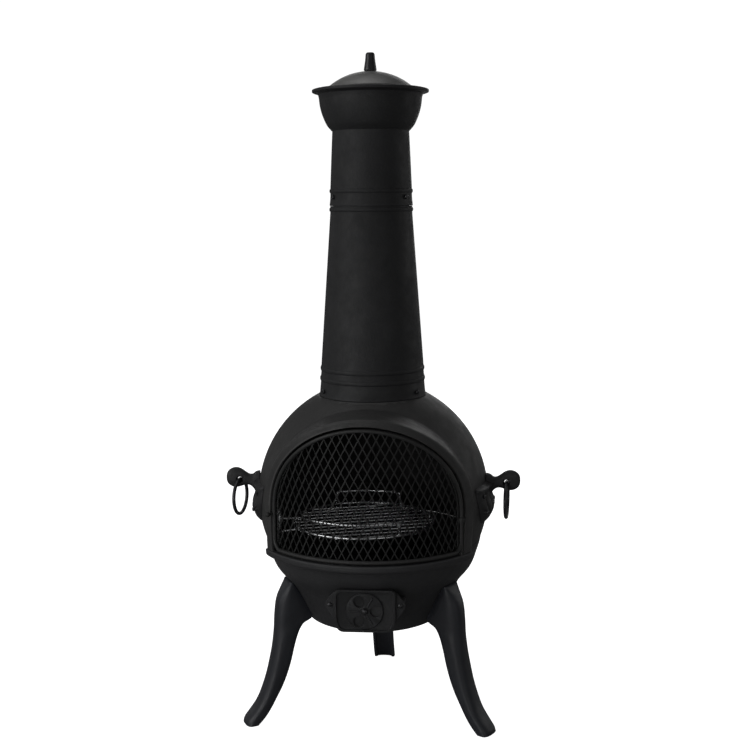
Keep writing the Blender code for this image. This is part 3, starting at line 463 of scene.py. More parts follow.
def block(low, high, turn=None):
    low, high = Vector(low), Vector(high)
    bm = bmesh.new()
    bmesh.ops.create_cube(bm, size=1)
    mesh = to_mesh(bm)
    fit = Matrix.Translation((low + high) / 2) @ Matrix.Diagonal((*(high - low), 1))
    mesh.transform((turn or Matrix()) @ fit)
    return mesh


def plate(outline, y0, y1):
    """An outline of (x, z) as a slab between two depths."""
    return lofted([[(x, y0, z) for x, z in outline], [(x, y1, z) for x, z in outline]])


def along(mesh, start, direction):
    """Stands a mesh made on +Z at a point, along a direction."""
    turn = Vector(direction).to_track_quat("Z", "Y").to_matrix().to_4x4()
    mesh.transform(Matrix.Translation(start) @ turn)
    return mesh


# ---- the dome -------------------------------------------------------------------------------
def outline_reach(direction, half, rise, floor):
    """How far the mouth's outline lies from the dome's centre, in a direction of the XZ plane."""
    c, s = direction
    c = abs(c)
    lift = ARCH_Z - SPHERE_Z
    slope = JAMB_TAPER / (ARCH_Z - SEAM_Z + 0.008)
    a = (c / half) ** 2 + (s / rise) ** 2
    b = -2 * s * lift / rise**2
    t = (-b + sqrt(b * b - 4 * a * ((lift / rise) ** 2 - 1))) / (2 * a)
    if t * s < lift:
        t = (half - slope * lift) / max(c - slope * s, 1e-6)
        if s < 0:
            t = min(t, (SPHERE_Z - floor) / -s)
    return t


def hood_profile(direction):
    """Points of (distance from the front axis, y), from the mouth's edge over the hood to the back."""
    c = abs(direction[0])
    inner = outline_reach(direction, MOUTH_HALF, MOUTH_RISE, SEAM_Z - 0.02)
    outer = outline_reach(direction, MOUTH_HALF + BAND, MOUTH_RISE + BAND, SEAM_Z - 0.033)
    outer = min(outer, SPHERE_R * 0.99)

    def face(r):
        return -sqrt(HOOD_R**2 - (r * c) ** 2)

    room = face(outer) + sqrt(SPHERE_R**2 - outer**2)
    corner = min(0.005, abs(room) * 0.4)
    fillet = 0.016
    while fillet > 0.0002 and fillet_start(outer, fillet) < face(outer) + corner:
        fillet *= 0.8
    points = []
    for i in range(5):
        r = inner + (outer - corner - inner) * i / 5
        points.append(Vector((r, face(r))))
    a = Vector((outer - corner, face(outer - corner)))
    b = Vector((outer, face(outer)))
    d = Vector((outer, face(outer) + corner))
    for i in range(6):
        t = i / 5
        points.append(a * (1 - t) ** 2 + b * 2 * t * (1 - t) + d * t * t)
    start = fillet_start(outer, fillet)
    for i in range(1, 6):
        points.append(d.lerp(Vector((outer, start)), i / 6))
    end = atan2(-start, -(outer + fillet))
    for i in range(8):
        angle = pi + (end - pi) * i / 7
        x = outer + fillet + fillet * cos(angle)
        points.append(Vector((x, start + fillet * sin(angle))))
    first = atan2(outer + fillet, -start)
    for i in range(1, 45):
        angle = first + (pi - first) * i / 44
        points.append(Vector((SPHERE_R * sin(angle), -SPHERE_R * cos(angle))))
    return points


def fillet_start(outer, fillet):
    """Where a fillet between the hood's side and the dome leaves the side."""
    return -sqrt(max((SPHERE_R + fillet) ** 2 - (outer + fillet) ** 2, 0.0))


def make_dome():
    bm = bmesh.new()
    rows = []
    turns = 208
    for i in range(turns):
        angle = tau * (i + 0.5) / turns
        direction = (cos(angle), sin(angle))
        rows.append([bm.verts.new((p.x * direction[0], p.y, SPHERE_Z + p.x * direction[1]))
                     for p in hood_profile(direction)])
    for i in range(turns):
        for j in range(len(rows[i]) - 1):
            bm.faces.new((rows[i - 1][j], rows[i - 1][j + 1], rows[i][j + 1], rows[i][j]))
    bmesh.ops.remove_doubles(bm, verts=bm.verts, dist=1e-5)
    for height, normal in ((SEAM_Z, (0, 0, -1)), (NECK_Z - 0.0004, (0, 0, 1))):
        cut = {"plane_co": (0, 0, height), "plane_no": normal, "clear_outer": True, "dist": 1e-6}
        bmesh.ops.bisect_plane(bm, geom=bm.verts[:] + bm.edges[:] + bm.faces[:], **cut)
    bm.normal_update()
    middle = Vector((0, 0, SPHERE_Z))
    if sum(f.normal.dot(f.calc_center_median() - middle) for f in bm.faces) < 0:
        bmesh.ops.reverse_faces(bm, faces=bm.faces)
    mesh = to_mesh(bm)
    mesh.materials.append(LIT_DOME_IRON)
    mesh.materials.append(SOOT)
    shell = {"thickness": WALL, "offset": -1, "use_even_offset": True, "material_offset": 1}
    mesh = with_modifiers(mesh, ("SOLIDIFY", shell))
    place_iron("dome", softened(mesh, 0.001, 2, 60), LIT_DOME_IRON, "upper_body", 50)

    neck = [(0.1068, NECK_Z - 0.0016), (0.103, NECK_Z - 0.006), (0.0895, NECK_Z - 0.006),
            (0.0895, SPIGOT_TOP), (0.0948, SPIGOT_TOP), (0.095, NECK_Z), (0.1052, NECK_Z - 0.0001)]
    place_iron("dome_neck", turned(neck), LIT_DOME_IRON, "upper_body")
    for azimuth, side in ((90, "right"), (-90, "left"), (180, "rear")):
        lug = block((0.174, -0.012, SEAM_Z), (0.201, 0.012, SEAM_Z + 0.009), facing(azimuth))
        place_iron("dome_lug_" + side, softened(lug, 0.002, 3), SOOT, "upper_body")


# ---- the bowl -------------------------------------------------------------------------------
def make_bowl():
    top = 0.3432
    outer = [(0.2062, top), (0.204, 0.333), (0.1988, 0.317), (0.1935, 0.301), (0.1855, 0.2865),
             (0.168, 0.265), (0.1525, 0.238), (0.1385, 0.209), (0.1295, 0.1925), (0.1225, 0.188)]
    outer = flowing(outer, 4)
    inner = [(p.x - WALL, p.y) for p in reversed(outer) if p.y > BOWL_LOW.z + 0.006]
    floor = BOWL_LOW.z + WALL
    shell = turned(outer + [(0.0, BOWL_LOW.z), (0.0, floor), (0.1175, floor)] + inner, 128)
    half_x, half_z = VENT_HALF_X - 0.007, VENT_HALF_Z - 0.007
    passage = block((-half_x, -0.25, VENT_Z - half_z), (half_x, -0.09, VENT_Z + half_z))
    shell = combined(shell, [passage], "DIFFERENCE")
    shell.materials.clear()
    shell.materials.append(IRON)
    shell.materials.append(SOOT)
    for poly in shell.polygons:
        flat = hypot(poly.center.x, poly.center.y)
        inward = poly.normal.x * poly.center.x + poly.normal.y * poly.center.y < -0.2 * flat
        poly.material_index = 1 if inward or poly.normal.z > 0.9 and flat < 0.16 else 0
    place_iron("bowl", shell, IRON, "lower_bowl")
    place_iron("hearth_lip", hearth_lip(top), IRON, "lower_bowl")

    back_y = VENT_FACE_Y + 0.0053
    sleeve = plate(vent_outline(0.002), back_y, -0.138)
    hearth_space = turned([(0, 0.3), (0.149, 0.3), (0.149, 0.24), (0, 0.2)], 64)
    sleeve = combined(sleeve, [passage, hearth_space], "DIFFERENCE")
    place_iron("vent_sleeve", softened(sleeve, 0.0018, 3), IRON, "lower_bowl")
    for side, sign in (("left", -1), ("right", 1)):
        boss = turned(rounded([(0, 0), (0.007, 0), (0.0078, 0.04), (0, 0.04)], 0.001), 32)
        start = (sign * (VENT_HALF_X + 0.0085), VENT_FACE_Y + 0.0096, VENT_Z + 0.009)
        boss = along(boss, start, (0, 1, 0))
        place_iron("vent_boss_" + side, boss, IRON, "lower_bowl")


def hearth_lip(top):
    """A rounded ledge under the mouth, drawn back into the bowl at its two ends."""
    height = top - HEARTH_Z
    loops = []
    count = 60
    for i in range(count + 1):
        angle = -HEARTH_SPAN + 2 * HEARTH_SPAN * i / count
        ease = min(1.0, (HEARTH_SPAN - abs(angle)) / radians(2.2))
        reach = 0.2035 + (HEARTH_R - 0.2035) * sin(ease * pi / 2) ** 0.6
        nose = rounded([(0.199, top), (reach, top), (reach - 0.0008, HEARTH_Z + 0.004),
                        (reach - 0.006, HEARTH_Z), (0.196, HEARTH_Z - 0.1 * height)], 0.0034, 5)
        loops.append([Vector((p.x * sin(angle), -p.x * cos(angle), p.y)) for p in nose])
    return lofted(loops)


# ---- chimney, crown and lid -----------------------------------------------------------------
def bead(radius, z, height):
    """A half-round bead on a wall, as points from top to bottom."""
    stand = 0.0017
    points = []
    for i in range(9):
        a = pi / 2 - pi * i / 8
        points.append((radius + stand * cos(a), z + height * 0.82 * sin(a)))
    return points


def make_chimney():
    def wall(z):
        """The radius of the tapered wall between the beads."""
        low_r, high_r, low_z, high_z = 0.0962, 0.0768, 0.685, 0.956
        return low_r + (high_r - low_r) * (z - low_z) / (high_z - low_z)

    joint = 0.9715
    outer = [(0.0712, joint + 0.02), (0.0712, joint), (0.0761, joint), (0.0766, joint - 0.0006)]
    outer += bead(0.0766, 0.965, 0.0046)
    outer += [(wall(z), z) for z in (0.954, 0.938, 0.87, 0.8, 0.74, 0.685)]
    for z, r in ((0.6681, 0.097), (0.649, 0.098)):
        outer += bead(r, z, 0.005)
    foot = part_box("chimney_lower")[0].z
    outer += [(0.1, foot + 0.006), (0.101, foot + 0.0022), (0.1013, foot + 0.0006), (0.1008, foot)]
    inner = [(0.0964, foot), (0.0964, 0.644), (0.0925, 0.649), (0.0727, 0.944), (0.0668, joint - 0.006),
             (0.0672, joint + 0.02)]
    place_iron("flue_lower", turned(outer + inner), FLUE_IRON, "chimney_lower")

    top = 1.1086
    low = joint + 0.0003
    outer = [(0.0668, top + 0.013), (0.0668, top), (0.0712, top), (0.0735, 1.06), (0.0758, 1.008)]
    outer += bead(0.076, 0.999, 0.0046) + [(0.0761, 0.99), (0.0766, 0.982), (0.0774, 0.9755)]
    outer += [(0.0776, low + 0.0014), (0.077, low)]
    inner = [(0.0717, low), (0.0717, joint + 0.021), (0.07, joint + 0.03), (0.0628, top),
             (0.0628, top + 0.013)]
    place_iron("flue_upper", turned(outer + inner), FLUE_IRON, "chimney_upper")


def make_crown():
    low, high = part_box("crown")
    rim = high.z
    bowl = [(0.0952, 1.1683), (0.0935, 1.1539), (0.0898, 1.1394), (0.084, 1.125), (0.0799, 1.1176),
            (0.0738, 1.1104)]
    outer = rounded([(0.076, rim), (0.101, rim), (0.1078, 1.1828), (0.1078, 1.1782), (0.1035, 1.1768),
                     (0.0968, 1.1748), (0.0954, 1.169)], 0.0014, 3, closed=False)
    outer += flowing(bowl, 4)
    foot = low.z
    inner = [(0.0724, foot), (0.0673, foot), (0.0673, foot + 0.0147), (0.0745, 1.118), (0.079, 1.126),
             (0.085, 1.1405), (0.0888, 1.1545), (0.0905, 1.169), (0.0905, 1.1755), (0.076, 1.18),
             (0.0732, 1.1805), (0.0732, rim - 0.001)]
    place_iron("crown_casting", turned(outer + inner), FLUE_IRON, "crown")


def make_lid():
    low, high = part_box("rain_lid")
    radius, thick, edge, hole = 0.121, 0.003, 0.0795, 0.0036
    middle = high.z - radius
    seat = low.z + 0.0075

    def cap(r, reach, count):
        last = asin(reach / r)
        angles = [last * i / count for i in range(count + 1)]
        return [(r * sin(a), middle + r * cos(a)) for a in angles]

    outer = [p for p in cap(radius, edge - 0.0012, 24) if p[0] > hole]
    rim = [(edge - 0.0003, seat + 0.0026), (edge, seat + 0.0014), (edge - 0.0002, seat + 0.0003),
           (edge - 0.001, seat)]
    skirt = [(0.0722, seat), (0.0722, low.z), (0.0692, low.z)]
    inner = [p for p in reversed(cap(radius - thick, 0.0692, 12)) if p[0] > hole]
    profile = [(hole, high.z)] + outer + rim + skirt + inner + [(hole, high.z - thick)]
    place("lid_cap", turned(profile), LID_GREY, "lid", ["rain_lid"], "lid_iron")

    base, tip = high.z + 0.0003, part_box("lid_knob")[1].z
    knob = [(0.0, tip), (0.0066, tip), (0.0084, tip - 0.003), (0.009, base + 0.022),
            (0.0101, base + 0.014), (0.012, base + 0.0022), (0.0114, base), (0.0031, base),
            (0.0031, base - 0.012), (0.0, base - 0.012)]
    knob = turned(rounded(knob, 0.002, 4, closed=False), 40)
    place("lid_handle", knob, BLACK_PAINT, "lid", ["lid_knob"], "black_paint")


# ---- legs -----------------------------------------------------------------------------------
def make_legs():
    """Cabriole legs: a crowned channel section carried down an S curve."""
    front = [(0.177, 0.2712), (0.1875, 0.256), (0.1975, 0.236), (0.202, 0.205), (0.2036, 0.18),
             (0.2056, 0.158), (0.209, 0.135), (0.214, 0.112), (0.2195, 0.09), (0.227, 0.068),
             (0.236, 0.046), (0.245, 0.031), (0.2565, 0.0175), (0.2642, 0.008), (0.2656, 0.0002)]
    back = [(0.1705, 0.2712), (0.161, 0.256), (0.1495, 0.236), (0.1392, 0.215), (0.1345, 0.199),
            (0.15, 0.1905), (0.1605, 0.175), (0.169, 0.15), (0.176, 0.122), (0.1845, 0.0955),
            (0.1945, 0.072), (0.2055, 0.052), (0.217, 0.032), (0.229, 0.015), (0.2434, 0.0002)]
    loops = []
    for outer, inner in zip(flowing(front, 4), flowing(back, 4)):
        loops.append(leg_section(outer, inner))
    for name, azimuth in LEG_AZIMUTHS.items():
        mesh = lofted(loops)
        mesh.transform(facing(azimuth))
        place(name + "_casting", mesh, LEG_PAINT_BLUE_SHEEN, "body", [name], "black_paint", 60)


def leg_section(outer, inner):
    """One ring round the leg: a full rounded face in front, flat flanks, and a shallow channel behind."""
    depth = outer - inner
    half = LEG_WIDTH / 2
    ring = []
    count = 18
    for i in range(count + 1):
        a = -pi / 2 + pi * i / count
        across = copysign(abs(sin(a)) ** 0.78, a) * half
        forward = 1.0 - 0.46 * (1 - cos(a) ** 0.85)
        ring.append((across, forward))
    behind = [(0.99, 0.3), (0.96, 0.05), (0.9, 0.0), (0.76, 0.0), (0.7, 0.06), (0.66, 0.22),
              (0.4, 0.34)]
    ring += [(half * across, forward) for across, forward in behind]
    ring.append((0.0, 0.37))
    ring += [(-half * across, forward) for across, forward in reversed(behind)]
    return [Vector(((inner + depth * f).x, across, (inner + depth * f).y)) for across, f in ring]


# ---- door -----------------------------------------------------------------------------------
def arch(half, rise, foot, count=48):
    points = [(half, foot)]
    for i in range(count + 1):
        a = pi * i / count
        points.append((half * cos(a), ARCH_Z + rise * sin(a)))
    return points + [(-half, foot)]


def on_door(x, z):
    """A point of the door, given by its X and height."""
    return Vector((x, -sqrt(DOOR_R**2 - x * x), z))


def make_door():
    corner = 0.012
    path = [on_door(x, z) for x, z in arch(DOOR_HALF, DOOR_RISE, DOOR_FOOT_Z + corner)]
    reach = asin(DOOR_HALF / DOOR_R) - corner / DOOR_R
    for i in range(41):
        a = -reach + 2 * reach * i / 40
        path.append(Vector((DOOR_R * sin(a), -DOOR_R * cos(a), DOOR_FOOT_Z)))
    path = rounded(path, 0.006, 3)
    rod = tube(path, DOOR_ROD, cyclic=True)
    hinge = on_door(DOOR_HALF, 0.0)
    pin = tube([hinge + Vector((0, 0, z)) for z in (0.3338, 0.34, 0.35, 0.368)], DOOR_ROD)
    place("door_rod", merged([rod, pin]), MESH_PAINT, "door", ["door_frame"], "door_steel")
    place("expanded_mesh", expanded_mesh(), MESH_PAINT, "door", ["door_mesh"], "door_steel", 60)

    pull_at = on_door(-DOOR_HALF, 0.415)
    out = Vector((pull_at.x, pull_at.y, 0)).normalized()
    knob = [(0.0, 0.015), (0.003, 0.0143), (0.005, 0.0118), (0.005, 0.0088), (0.0032, 0.0062),
            (0.0025, 0.0045), (0.0025, 0.0), (0.0, 0.0)]
    knob = turned(rounded(knob, 0.0012, 3, closed=False), 32)
    place("door_knob", along(knob, pull_at + out * (DOOR_ROD + 0.0003), out), MESH_PAINT, "door",
          ["door_pull"], "fastener_steel")


def expanded_mesh():
    """Slit and stretched sheet bent to the door: staggered diamonds whose strands lean out of it."""
    cell_w, cell_h = MESH_CELL
    columns = round(DOOR_R * 2 / cell_w)
    rows = round(0.27 / (cell_h / 2))
    bm = bmesh.new()
    corners = {}

    def corner(i, j):
        if (i, j) not in corners:
            corners[i, j] = bm.verts.new((i * cell_w / 2, 0, 0.335 + j * cell_h / 2))
        return corners[i, j]

    for j in range(rows + 1):
        for i in range(-columns, columns + 1):
            if (i + j) % 2 == 0:
                bm.faces.new((corner(i - 1, j), corner(i, j - 1), corner(i + 1, j), corner(i, j + 1)))
    bm.normal_update()
    diamonds = list(bm.faces)
    bmesh.ops.inset_individual(bm, faces=diamonds, thickness=STRAND / 2, use_even_offset=True)
    for face in diamonds:
        middle = face.calc_center_median()
        for vert in face.verts:
            lift = vert.co.z - middle.z
            if abs(lift) > 1e-5:
                vert.co.y += copysign(STRAND_LEAN, lift)
    bmesh.ops.delete(bm, geom=diamonds, context="FACES")
    sheet = with_modifiers(to_mesh(bm), ("SOLIDIFY", {"thickness": 0.0012, "offset": 0}))

    outline = arch(DOOR_HALF - 0.005, DOOR_RISE - 0.001, DOOR_FOOT_Z + 0.0005)
    edge = [(asin(x / DOOR_R) * DOOR_R, z) for x, z in outline]
    sheet = combined(sheet, [plate(edge, -0.01, 0.01)], "INTERSECT")
    wire = tube([(x, 0.0, z) for x, z in refined(edge, 0.01)], 0.0015, cyclic=True, sides=8)
    mesh = merged([sheet, wire])
    for vert in mesh.vertices:
        x, y, z = vert.co
        r = MESH_R - y
        vert.co = (r * sin(x / MESH_R), -r * cos(x / MESH_R), z)
    return mesh


def refined(outline, step):
    """Splits an outline's long edges."""
    points = []
    for a, b in zip(outline, outline[1:] + outline[:1]):
        pieces = max(1, round(dist(a, b) / step))
        points += [Vector(a).lerp(Vector(b), k / pieces) for k in range(pieces)]
    return points


# ---- grill ----------------------------------------------------------------------------------
def round_grill(radius, degrees, z):
    a = radians(degrees)
    return Vector((GRILL_CENTRE.x + radius * cos(a), GRILL_CENTRE.y + radius * sin(a), z))


def make_grill():
    wire, thin = 0.003, 0.0022
    ring = tube([round_grill(GRILL_R, 3 * i, GRILL_Z) for i in range(120)], wire, cyclic=True)
    across = Vector((cos(BAR_ANGLE), sin(BAR_ANGLE), 0))
    beside = Vector((-across.y, across.x, 0))
    shapes = [ring]
    bars = 11
    for i in range(bars):
        offset = (i - (bars - 1) / 2) * 2 * GRILL_R / (bars + 1)
        reach = sqrt(GRILL_R**2 - offset**2) + 0.001
        middle = round_grill(0, 0, GRILL_Z - 0.003) + beside * offset
        path = [middle + across * reach * t for t in (-1, -0.97, 0, 0.97, 1)]
        shapes.append(tube(path, thin, sides=10))
    place("grill_wires", merged(shapes), CHROME, "grill", ["grill_ring"], "grill_chrome", 60)

    for name, start, end in (("grill_front_rail", 208, 305), ("grill_back_rail", 62, 118)):
        steps = round((end - start) / 3)
        turns = [start + (end - start) * i / steps for i in range(steps + 1)]
        arc = [round_grill(GRILL_R, turn, RAIL_Z) for turn in turns]
        first, last = [Vector((*point.xy, GRILL_Z + wire)) for point in (arc[0], arc[-1])]
        path = rounded([first] + arc + [last], 0.0035, 4, closed=False)
        place(name + "_wire", tube(path, wire * 0.9), CHROME, "grill", [name], "grill_chrome", 60)

    low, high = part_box("grill_arm")
    sleeve = [(0.0044, low.z), (0.0068, low.z), (0.0068, high.z), (0.0044, high.z)]
    sleeve = turned(rounded(sleeve, 0.0006, 2), 32)
    sleeve.transform(Matrix.Translation((PIVOT.x, PIVOT.y, 0)))
    shapes = [sleeve]
    for degrees, z in ((212, GRILL_Z - 0.0005), (217, RAIL_Z - 0.0005)):
        tip = round_grill(GRILL_R + wire + 0.0002, degrees, z)
        root = Vector((PIVOT.x, PIVOT.y, z - 0.001))
        start = root + (tip - root).normalized() * 0.006
        shapes.append(tube([start.lerp(tip, t) for t in (0, 0.1, 0.9, 1)], 0.0028))
    place("grill_arms", merged(shapes), CHROME, "grill", ["grill_arm"], "grill_chrome")


# ---- vent -----------------------------------------------------------------------------------
def port(degrees, y0, y1):
    """An oval slug beside the damper's axis, for cutting a port."""
    reach, half_out, half_round = 0.0205, 0.011, 0.0098
    turn = Matrix.Rotation(radians(degrees), 2)
    outline = []
    for i in range(32):
        a = tau * i / 32
        x, z = turn @ Vector((reach + half_out * cos(a), half_round * sin(a)))
        outline.append((x, VENT_Z + z))
    return plate(outline, y0, y1)


def vent_outline(inset):
    """The vent plate's outline: square above with eased corners, drawn in below to follow the bowl."""
    x, z = VENT_HALF_X - inset, VENT_HALF_Z - inset
    corners = [(x, VENT_Z + z), (-x, VENT_Z + z), (-x, VENT_Z - z * 0.55), (-x * 0.86, VENT_Z - z),
               (x * 0.86, VENT_Z - z), (x, VENT_Z - z * 0.55)]
    return rounded(corners, 0.01, 6)


def make_vent():
    front, back = VENT_FACE_Y, VENT_FACE_Y + 0.005
    body = plate(vent_outline(0.0), front - 0.0035, back)
    tray = plate(vent_outline(0.0042), front - 0.01, front)
    ports = [port(60 + 120 * i, front - 2 * CUT_PAST, back + CUT_PAST) for i in range(3)]
    panel = combined(body, [tray] + ports, "DIFFERENCE")
    shapes = [softened(panel, 0.0013, 3)]
    for sign in (-1, 1):
        x = sign * VENT_HALF_X
        ear = [(x - sign * 0.006, VENT_Z + 0.034), (x + sign * 0.001, VENT_Z + 0.034),
               (x + sign * 0.013, VENT_Z + 0.019), (x + sign * 0.019, VENT_Z + 0.009),
               (x + sign * 0.013, VENT_Z - 0.003), (x - sign * 0.001, VENT_Z - 0.024),
               (x - sign * 0.006, VENT_Z - 0.024)]
        lug = plate(rounded(ear, 0.006, 6), front + 0.004, front + 0.0092)
        shapes.append(softened(lug, 0.0014, 3))
    place_iron("vent_plate", merged(shapes), FLUE_IRON, "vent_frame")

    disc_back = front - 0.0003
    disc_front = disc_back - 0.003
    disc = turned([(0.0, 0.0), (0.034, 0.0), (0.034, 0.0012), (0.0322, 0.003), (0.0, 0.003)], 72)
    disc = along(disc, (0, disc_back, VENT_Z), (0, -1, 0))
    slots = [port(120 * i, disc_front - CUT_PAST, disc_back + CUT_PAST) for i in range(3)]
    disc = softened(combined(disc, slots, "DIFFERENCE"), 0.0007, 2)
    shapes = [disc]
    for i in range(3):
        a = radians(60 + 120 * i)
        tip = Vector((0.028 * cos(a), 0, 0.028 * sin(a)))
        hub = Vector((0, disc_front + 0.0007, VENT_Z))
        shapes.append(tube([hub + tip * t for t in (0.34, 0.42, 0.94, 1.0)], 0.002, sides=16))
    place("damper_disc", merged(shapes), FLUE_IRON, "damper", ["vent_damper"], "body_iron")

    head = [(0.0, 0.0038), (0.0032, 0.0034), (0.0052, 0.0022), (0.0061, 0.0005), (0.006, 0.0),
            (0.0, 0.0)]
    rivet = along(turned(head, 32), (0, disc_front - 0.0005, VENT_Z), (0, -1, 0))
    place("damper_rivet", rivet, ZINC, "body", ["vent_rivet"], "fastener_steel")


# ---- handles --------------------------------------------------------------------------------
def sphere_r(z):
    """The dome's radius about the flue axis at a height."""
    return sqrt(SPHERE_R**2 - (z - SPHERE_Z) ** 2)


def make_handle(side):
    sign = 1 if side == "right" else -1
    turn = facing(sign * HANDLE_AZIMUTH)
    shield = fluted_shield()
    shield.transform(turn)
    curl = scroll()
    curl.transform(turn)
    place_iron("shield_" + side, shield, HANDLE_IRON, "handle_bracket_" + side, 60)
    place_iron("scroll_" + side, curl, HANDLE_IRON, "handle_bracket_" + side, 60)

    wire, radius = 0.0034, 0.0335
    middle = centre_of("handle_ring_" + side) - FLUE
    twist = Matrix.Rotation(radians(sign * HANDLE_AZIMUTH - 90) + RING_TWIST[side], 4, "Z")
    path = []
    for i in range(72):
        a = tau * i / 72
        path.append(middle + twist @ Vector((0, radius * cos(a), radius * sin(a))))
    ring = tube(path, wire, cyclic=True)
    stands_for = ["handle_ring_" + side]
    place("hand_ring_" + side, ring, BLACK_PAINT, "ring_" + side, stands_for, "black_paint", 60)


def fluted_shield():
    """A shell-like shield that hugs the dome, ribbed like a scallop under an overhanging ledge."""
    relief = flowing([(0.3835, 0.0036), (0.393, 0.0098), (0.408, 0.0134), (0.421, 0.0108),
                      (0.43, 0.0078), (0.447, 0.007), (0.4488, 0.0106), (0.4518, 0.0108),
                      (0.4534, 0.005), (0.456, 0.0016)], 4)
    width = flowing([(0.3815, 0.043), (0.4, 0.057), (0.43, 0.071), (0.452, 0.0765), (0.458, 0.073)], 9)

    def half_width(z):
        for low, high in zip(width, width[1:]):
            if low.x <= z <= high.x:
                return low.y + (high.y - low.y) * (z - low.x) / (high.x - low.x)
        return width[0].y if z < width[0].x else width[-1].y

    count = 64
    loops = []
    for z, stand in relief:
        half = half_width(z)
        below_ledge = min(1.0, max(0.0, (0.448 - z) / 0.004))
        outer_row, inner_row = [], []
        for i in range(count + 1):
            u = -1 + 2 * i / count
            angle = asin(u * half / SPHERE_R)
            edge = (1 - abs(u) ** 7) ** 0.5
            flute = abs(cos(u * pi * 2.5)) ** 0.6
            rise = 0.0014 + (stand - 0.0014) * edge * (1 - 0.6 * below_ledge * (1 - flute))
            for row, r in ((outer_row, sphere_r(z) + rise), (inner_row, sphere_r(z) + 0.0004)):
                row.append(Vector((r * cos(angle), r * sin(angle), z)))
        loops.append(outer_row + inner_row[::-1])
    return lofted(loops)


def scroll():
    """The shield's neck and head in one casting, with the eye that the ring hangs in."""
    sections = [(0.217, 0.4485, 0.0225, 0.0105), (0.2255, 0.4487, 0.02, 0.0098),
                (0.2305, 0.4505, 0.014, 0.0088), (0.237, 0.4532, 0.011, 0.0085),
                (0.2445, 0.4558, 0.0128, 0.0085), (0.252, 0.4575, 0.0166, 0.0086),
                (0.26, 0.458, 0.0192, 0.0086), (0.268, 0.458, 0.0188, 0.0086),
                (0.2745, 0.458, 0.0158, 0.0082), (0.2792, 0.458, 0.0112, 0.007),
                (0.2815, 0.458, 0.0052, 0.004)]
    squareness = 0.7
    loops = []
    for r, z, tall, thick in sections:
        loop = []
        for i in range(32):
            a = tau * i / 32
            c, v = cos(a), sin(a)
            across = thick * copysign(abs(c) ** squareness, c)
            loop.append(Vector((r, across, z + tall * copysign(abs(v) ** squareness, v))))
        loops.append(loop)
    solid = lofted([list(row) for row in zip(*[flowing(line, 4) for line in zip(*loops)])])
    bore = [(0, -0.03), (0.015, -0.03), (0.0072, -0.0088), (0.0043, -0.0026), (0.0043, 0.0026),
            (0.0072, 0.0088), (0.015, 0.03), (0, 0.03)]
    eye = along(turned(bore, 40), (EYE[0], 0, EYE[1]), (0, 1, 0))
    solid = combined(solid, [eye], "DIFFERENCE")
    remesh = {"mode": "VOXEL", "voxel_size": 0.0008}
    smooth = {"factor": 0.6, "iterations": 6}
    return with_modifiers(solid, ("REMESH", remesh), ("SMOOTH", smooth))


# ---- fasteners ------------------------------------------------------------------------------
def read_fastener(node):
    """A CAD fastener's mean point and axis, with its points as distances along and away from it."""
    points = np.array([vert.co[:] for vert in frame["nodes"][node].data.vertices])
    middle = points.mean(axis=0)
    axis = np.linalg.eigh(np.cov((points - middle).T))[1][:, 2]
    along_axis = (points - middle) @ axis
    away = np.linalg.norm(points - middle - np.outer(along_axis, axis), axis=1)
    return middle, axis, along_axis, away


def make_screw(node, recessed=True):
    """A pan-head screw with a cross recess, or a flanged bolt, where the CAD has its plain one."""
    middle, axis, heights, away = read_fastener(node)
    if heights[away.argmax()] < 0:
        axis, heights = -axis, -heights
    seat = heights[away.argmax()]
    radius, top, bottom = away.max(), heights.max() - seat, heights.min() - seat
    shank = away[heights < heights.min() + 0.0005].max()
    head = [(0.0, top), (radius * 0.55, top * 0.96), (radius * 0.88, top * 0.7), (radius, top * 0.28),
            (radius * 0.98, 0.0), (shank, 0.0)]
    if not recessed:
        head = [(0.0, top), (radius * 0.8, top), (radius * 0.86, top * 0.92), (radius * 0.86, 0.0006),
                (radius, 0.0005), (radius, 0.0), (shank, 0.0)]
    thread = []
    pitch, root = 0.001, shank * 0.86
    for i in range(int((-bottom - 0.002) / pitch)):
        z = -pitch - pitch * i
        thread += [(shank, z + 0.0002), (root, z - 0.0003)]
    point = [(root, bottom + 0.0004), (shank * 0.6, bottom), (0.0, bottom)]
    mesh = turned(head + thread + point, 36)
    if recessed:
        arm = radius * 0.55
        recess = [block((-arm, -radius * 0.12, top * 0.45), (arm, radius * 0.12, top * 2)),
                  block((-radius * 0.12, -arm, top * 0.45), (radius * 0.12, arm, top * 2))]
        mesh = combined(mesh, recess, "DIFFERENCE")
    mesh = along(mesh, Vector(middle + axis * seat) - FLUE, Vector(axis))
    place(node + "_turned", mesh, ZINC, "body", [node], "fastener_steel", 32)


def make_nut(node, bore):
    """A hexagon nut with chamfered corners and a threaded bore."""
    low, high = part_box(node)
    middle = (low + high) / 2 - FLUE
    reach = (high.x - low.x) / 2
    tall = (high.z - low.z) / 2
    bm = bmesh.new()
    bmesh.ops.create_cone(bm, cap_ends=True, segments=6, radius1=reach, radius2=reach, depth=tall * 2)
    chamfer = turned([(0, tall), (reach * 0.86, tall), (reach * 1.02, tall * 0.6),
                      (reach * 1.02, -tall * 0.6), (reach * 0.86, -tall), (0, -tall)], 48)
    hexagon = combined(to_mesh(bm), [chamfer], "INTERSECT")
    hole = [(0.0, tall * 2), (bore * 1.15, tall * 1.2), (bore, tall * 0.8)]
    hole += [(bore * (1.0 if i % 2 else 1.1), tall * (0.8 - 1.6 * i / 10)) for i in range(1, 10)]
    hole += [(bore, -tall * 0.8), (bore * 1.15, -tall * 1.2), (0.0, -tall * 2)]
    mesh = combined(hexagon, [turned(hole, 36)], "DIFFERENCE")
    mesh.transform(Matrix.Translation(middle))
    place(node + "_hex", mesh, ZINC, frame_body(node), [node], "fastener_steel", 30)


def frame_body(node):
    return body_of(frame["nodes"][node])[0]


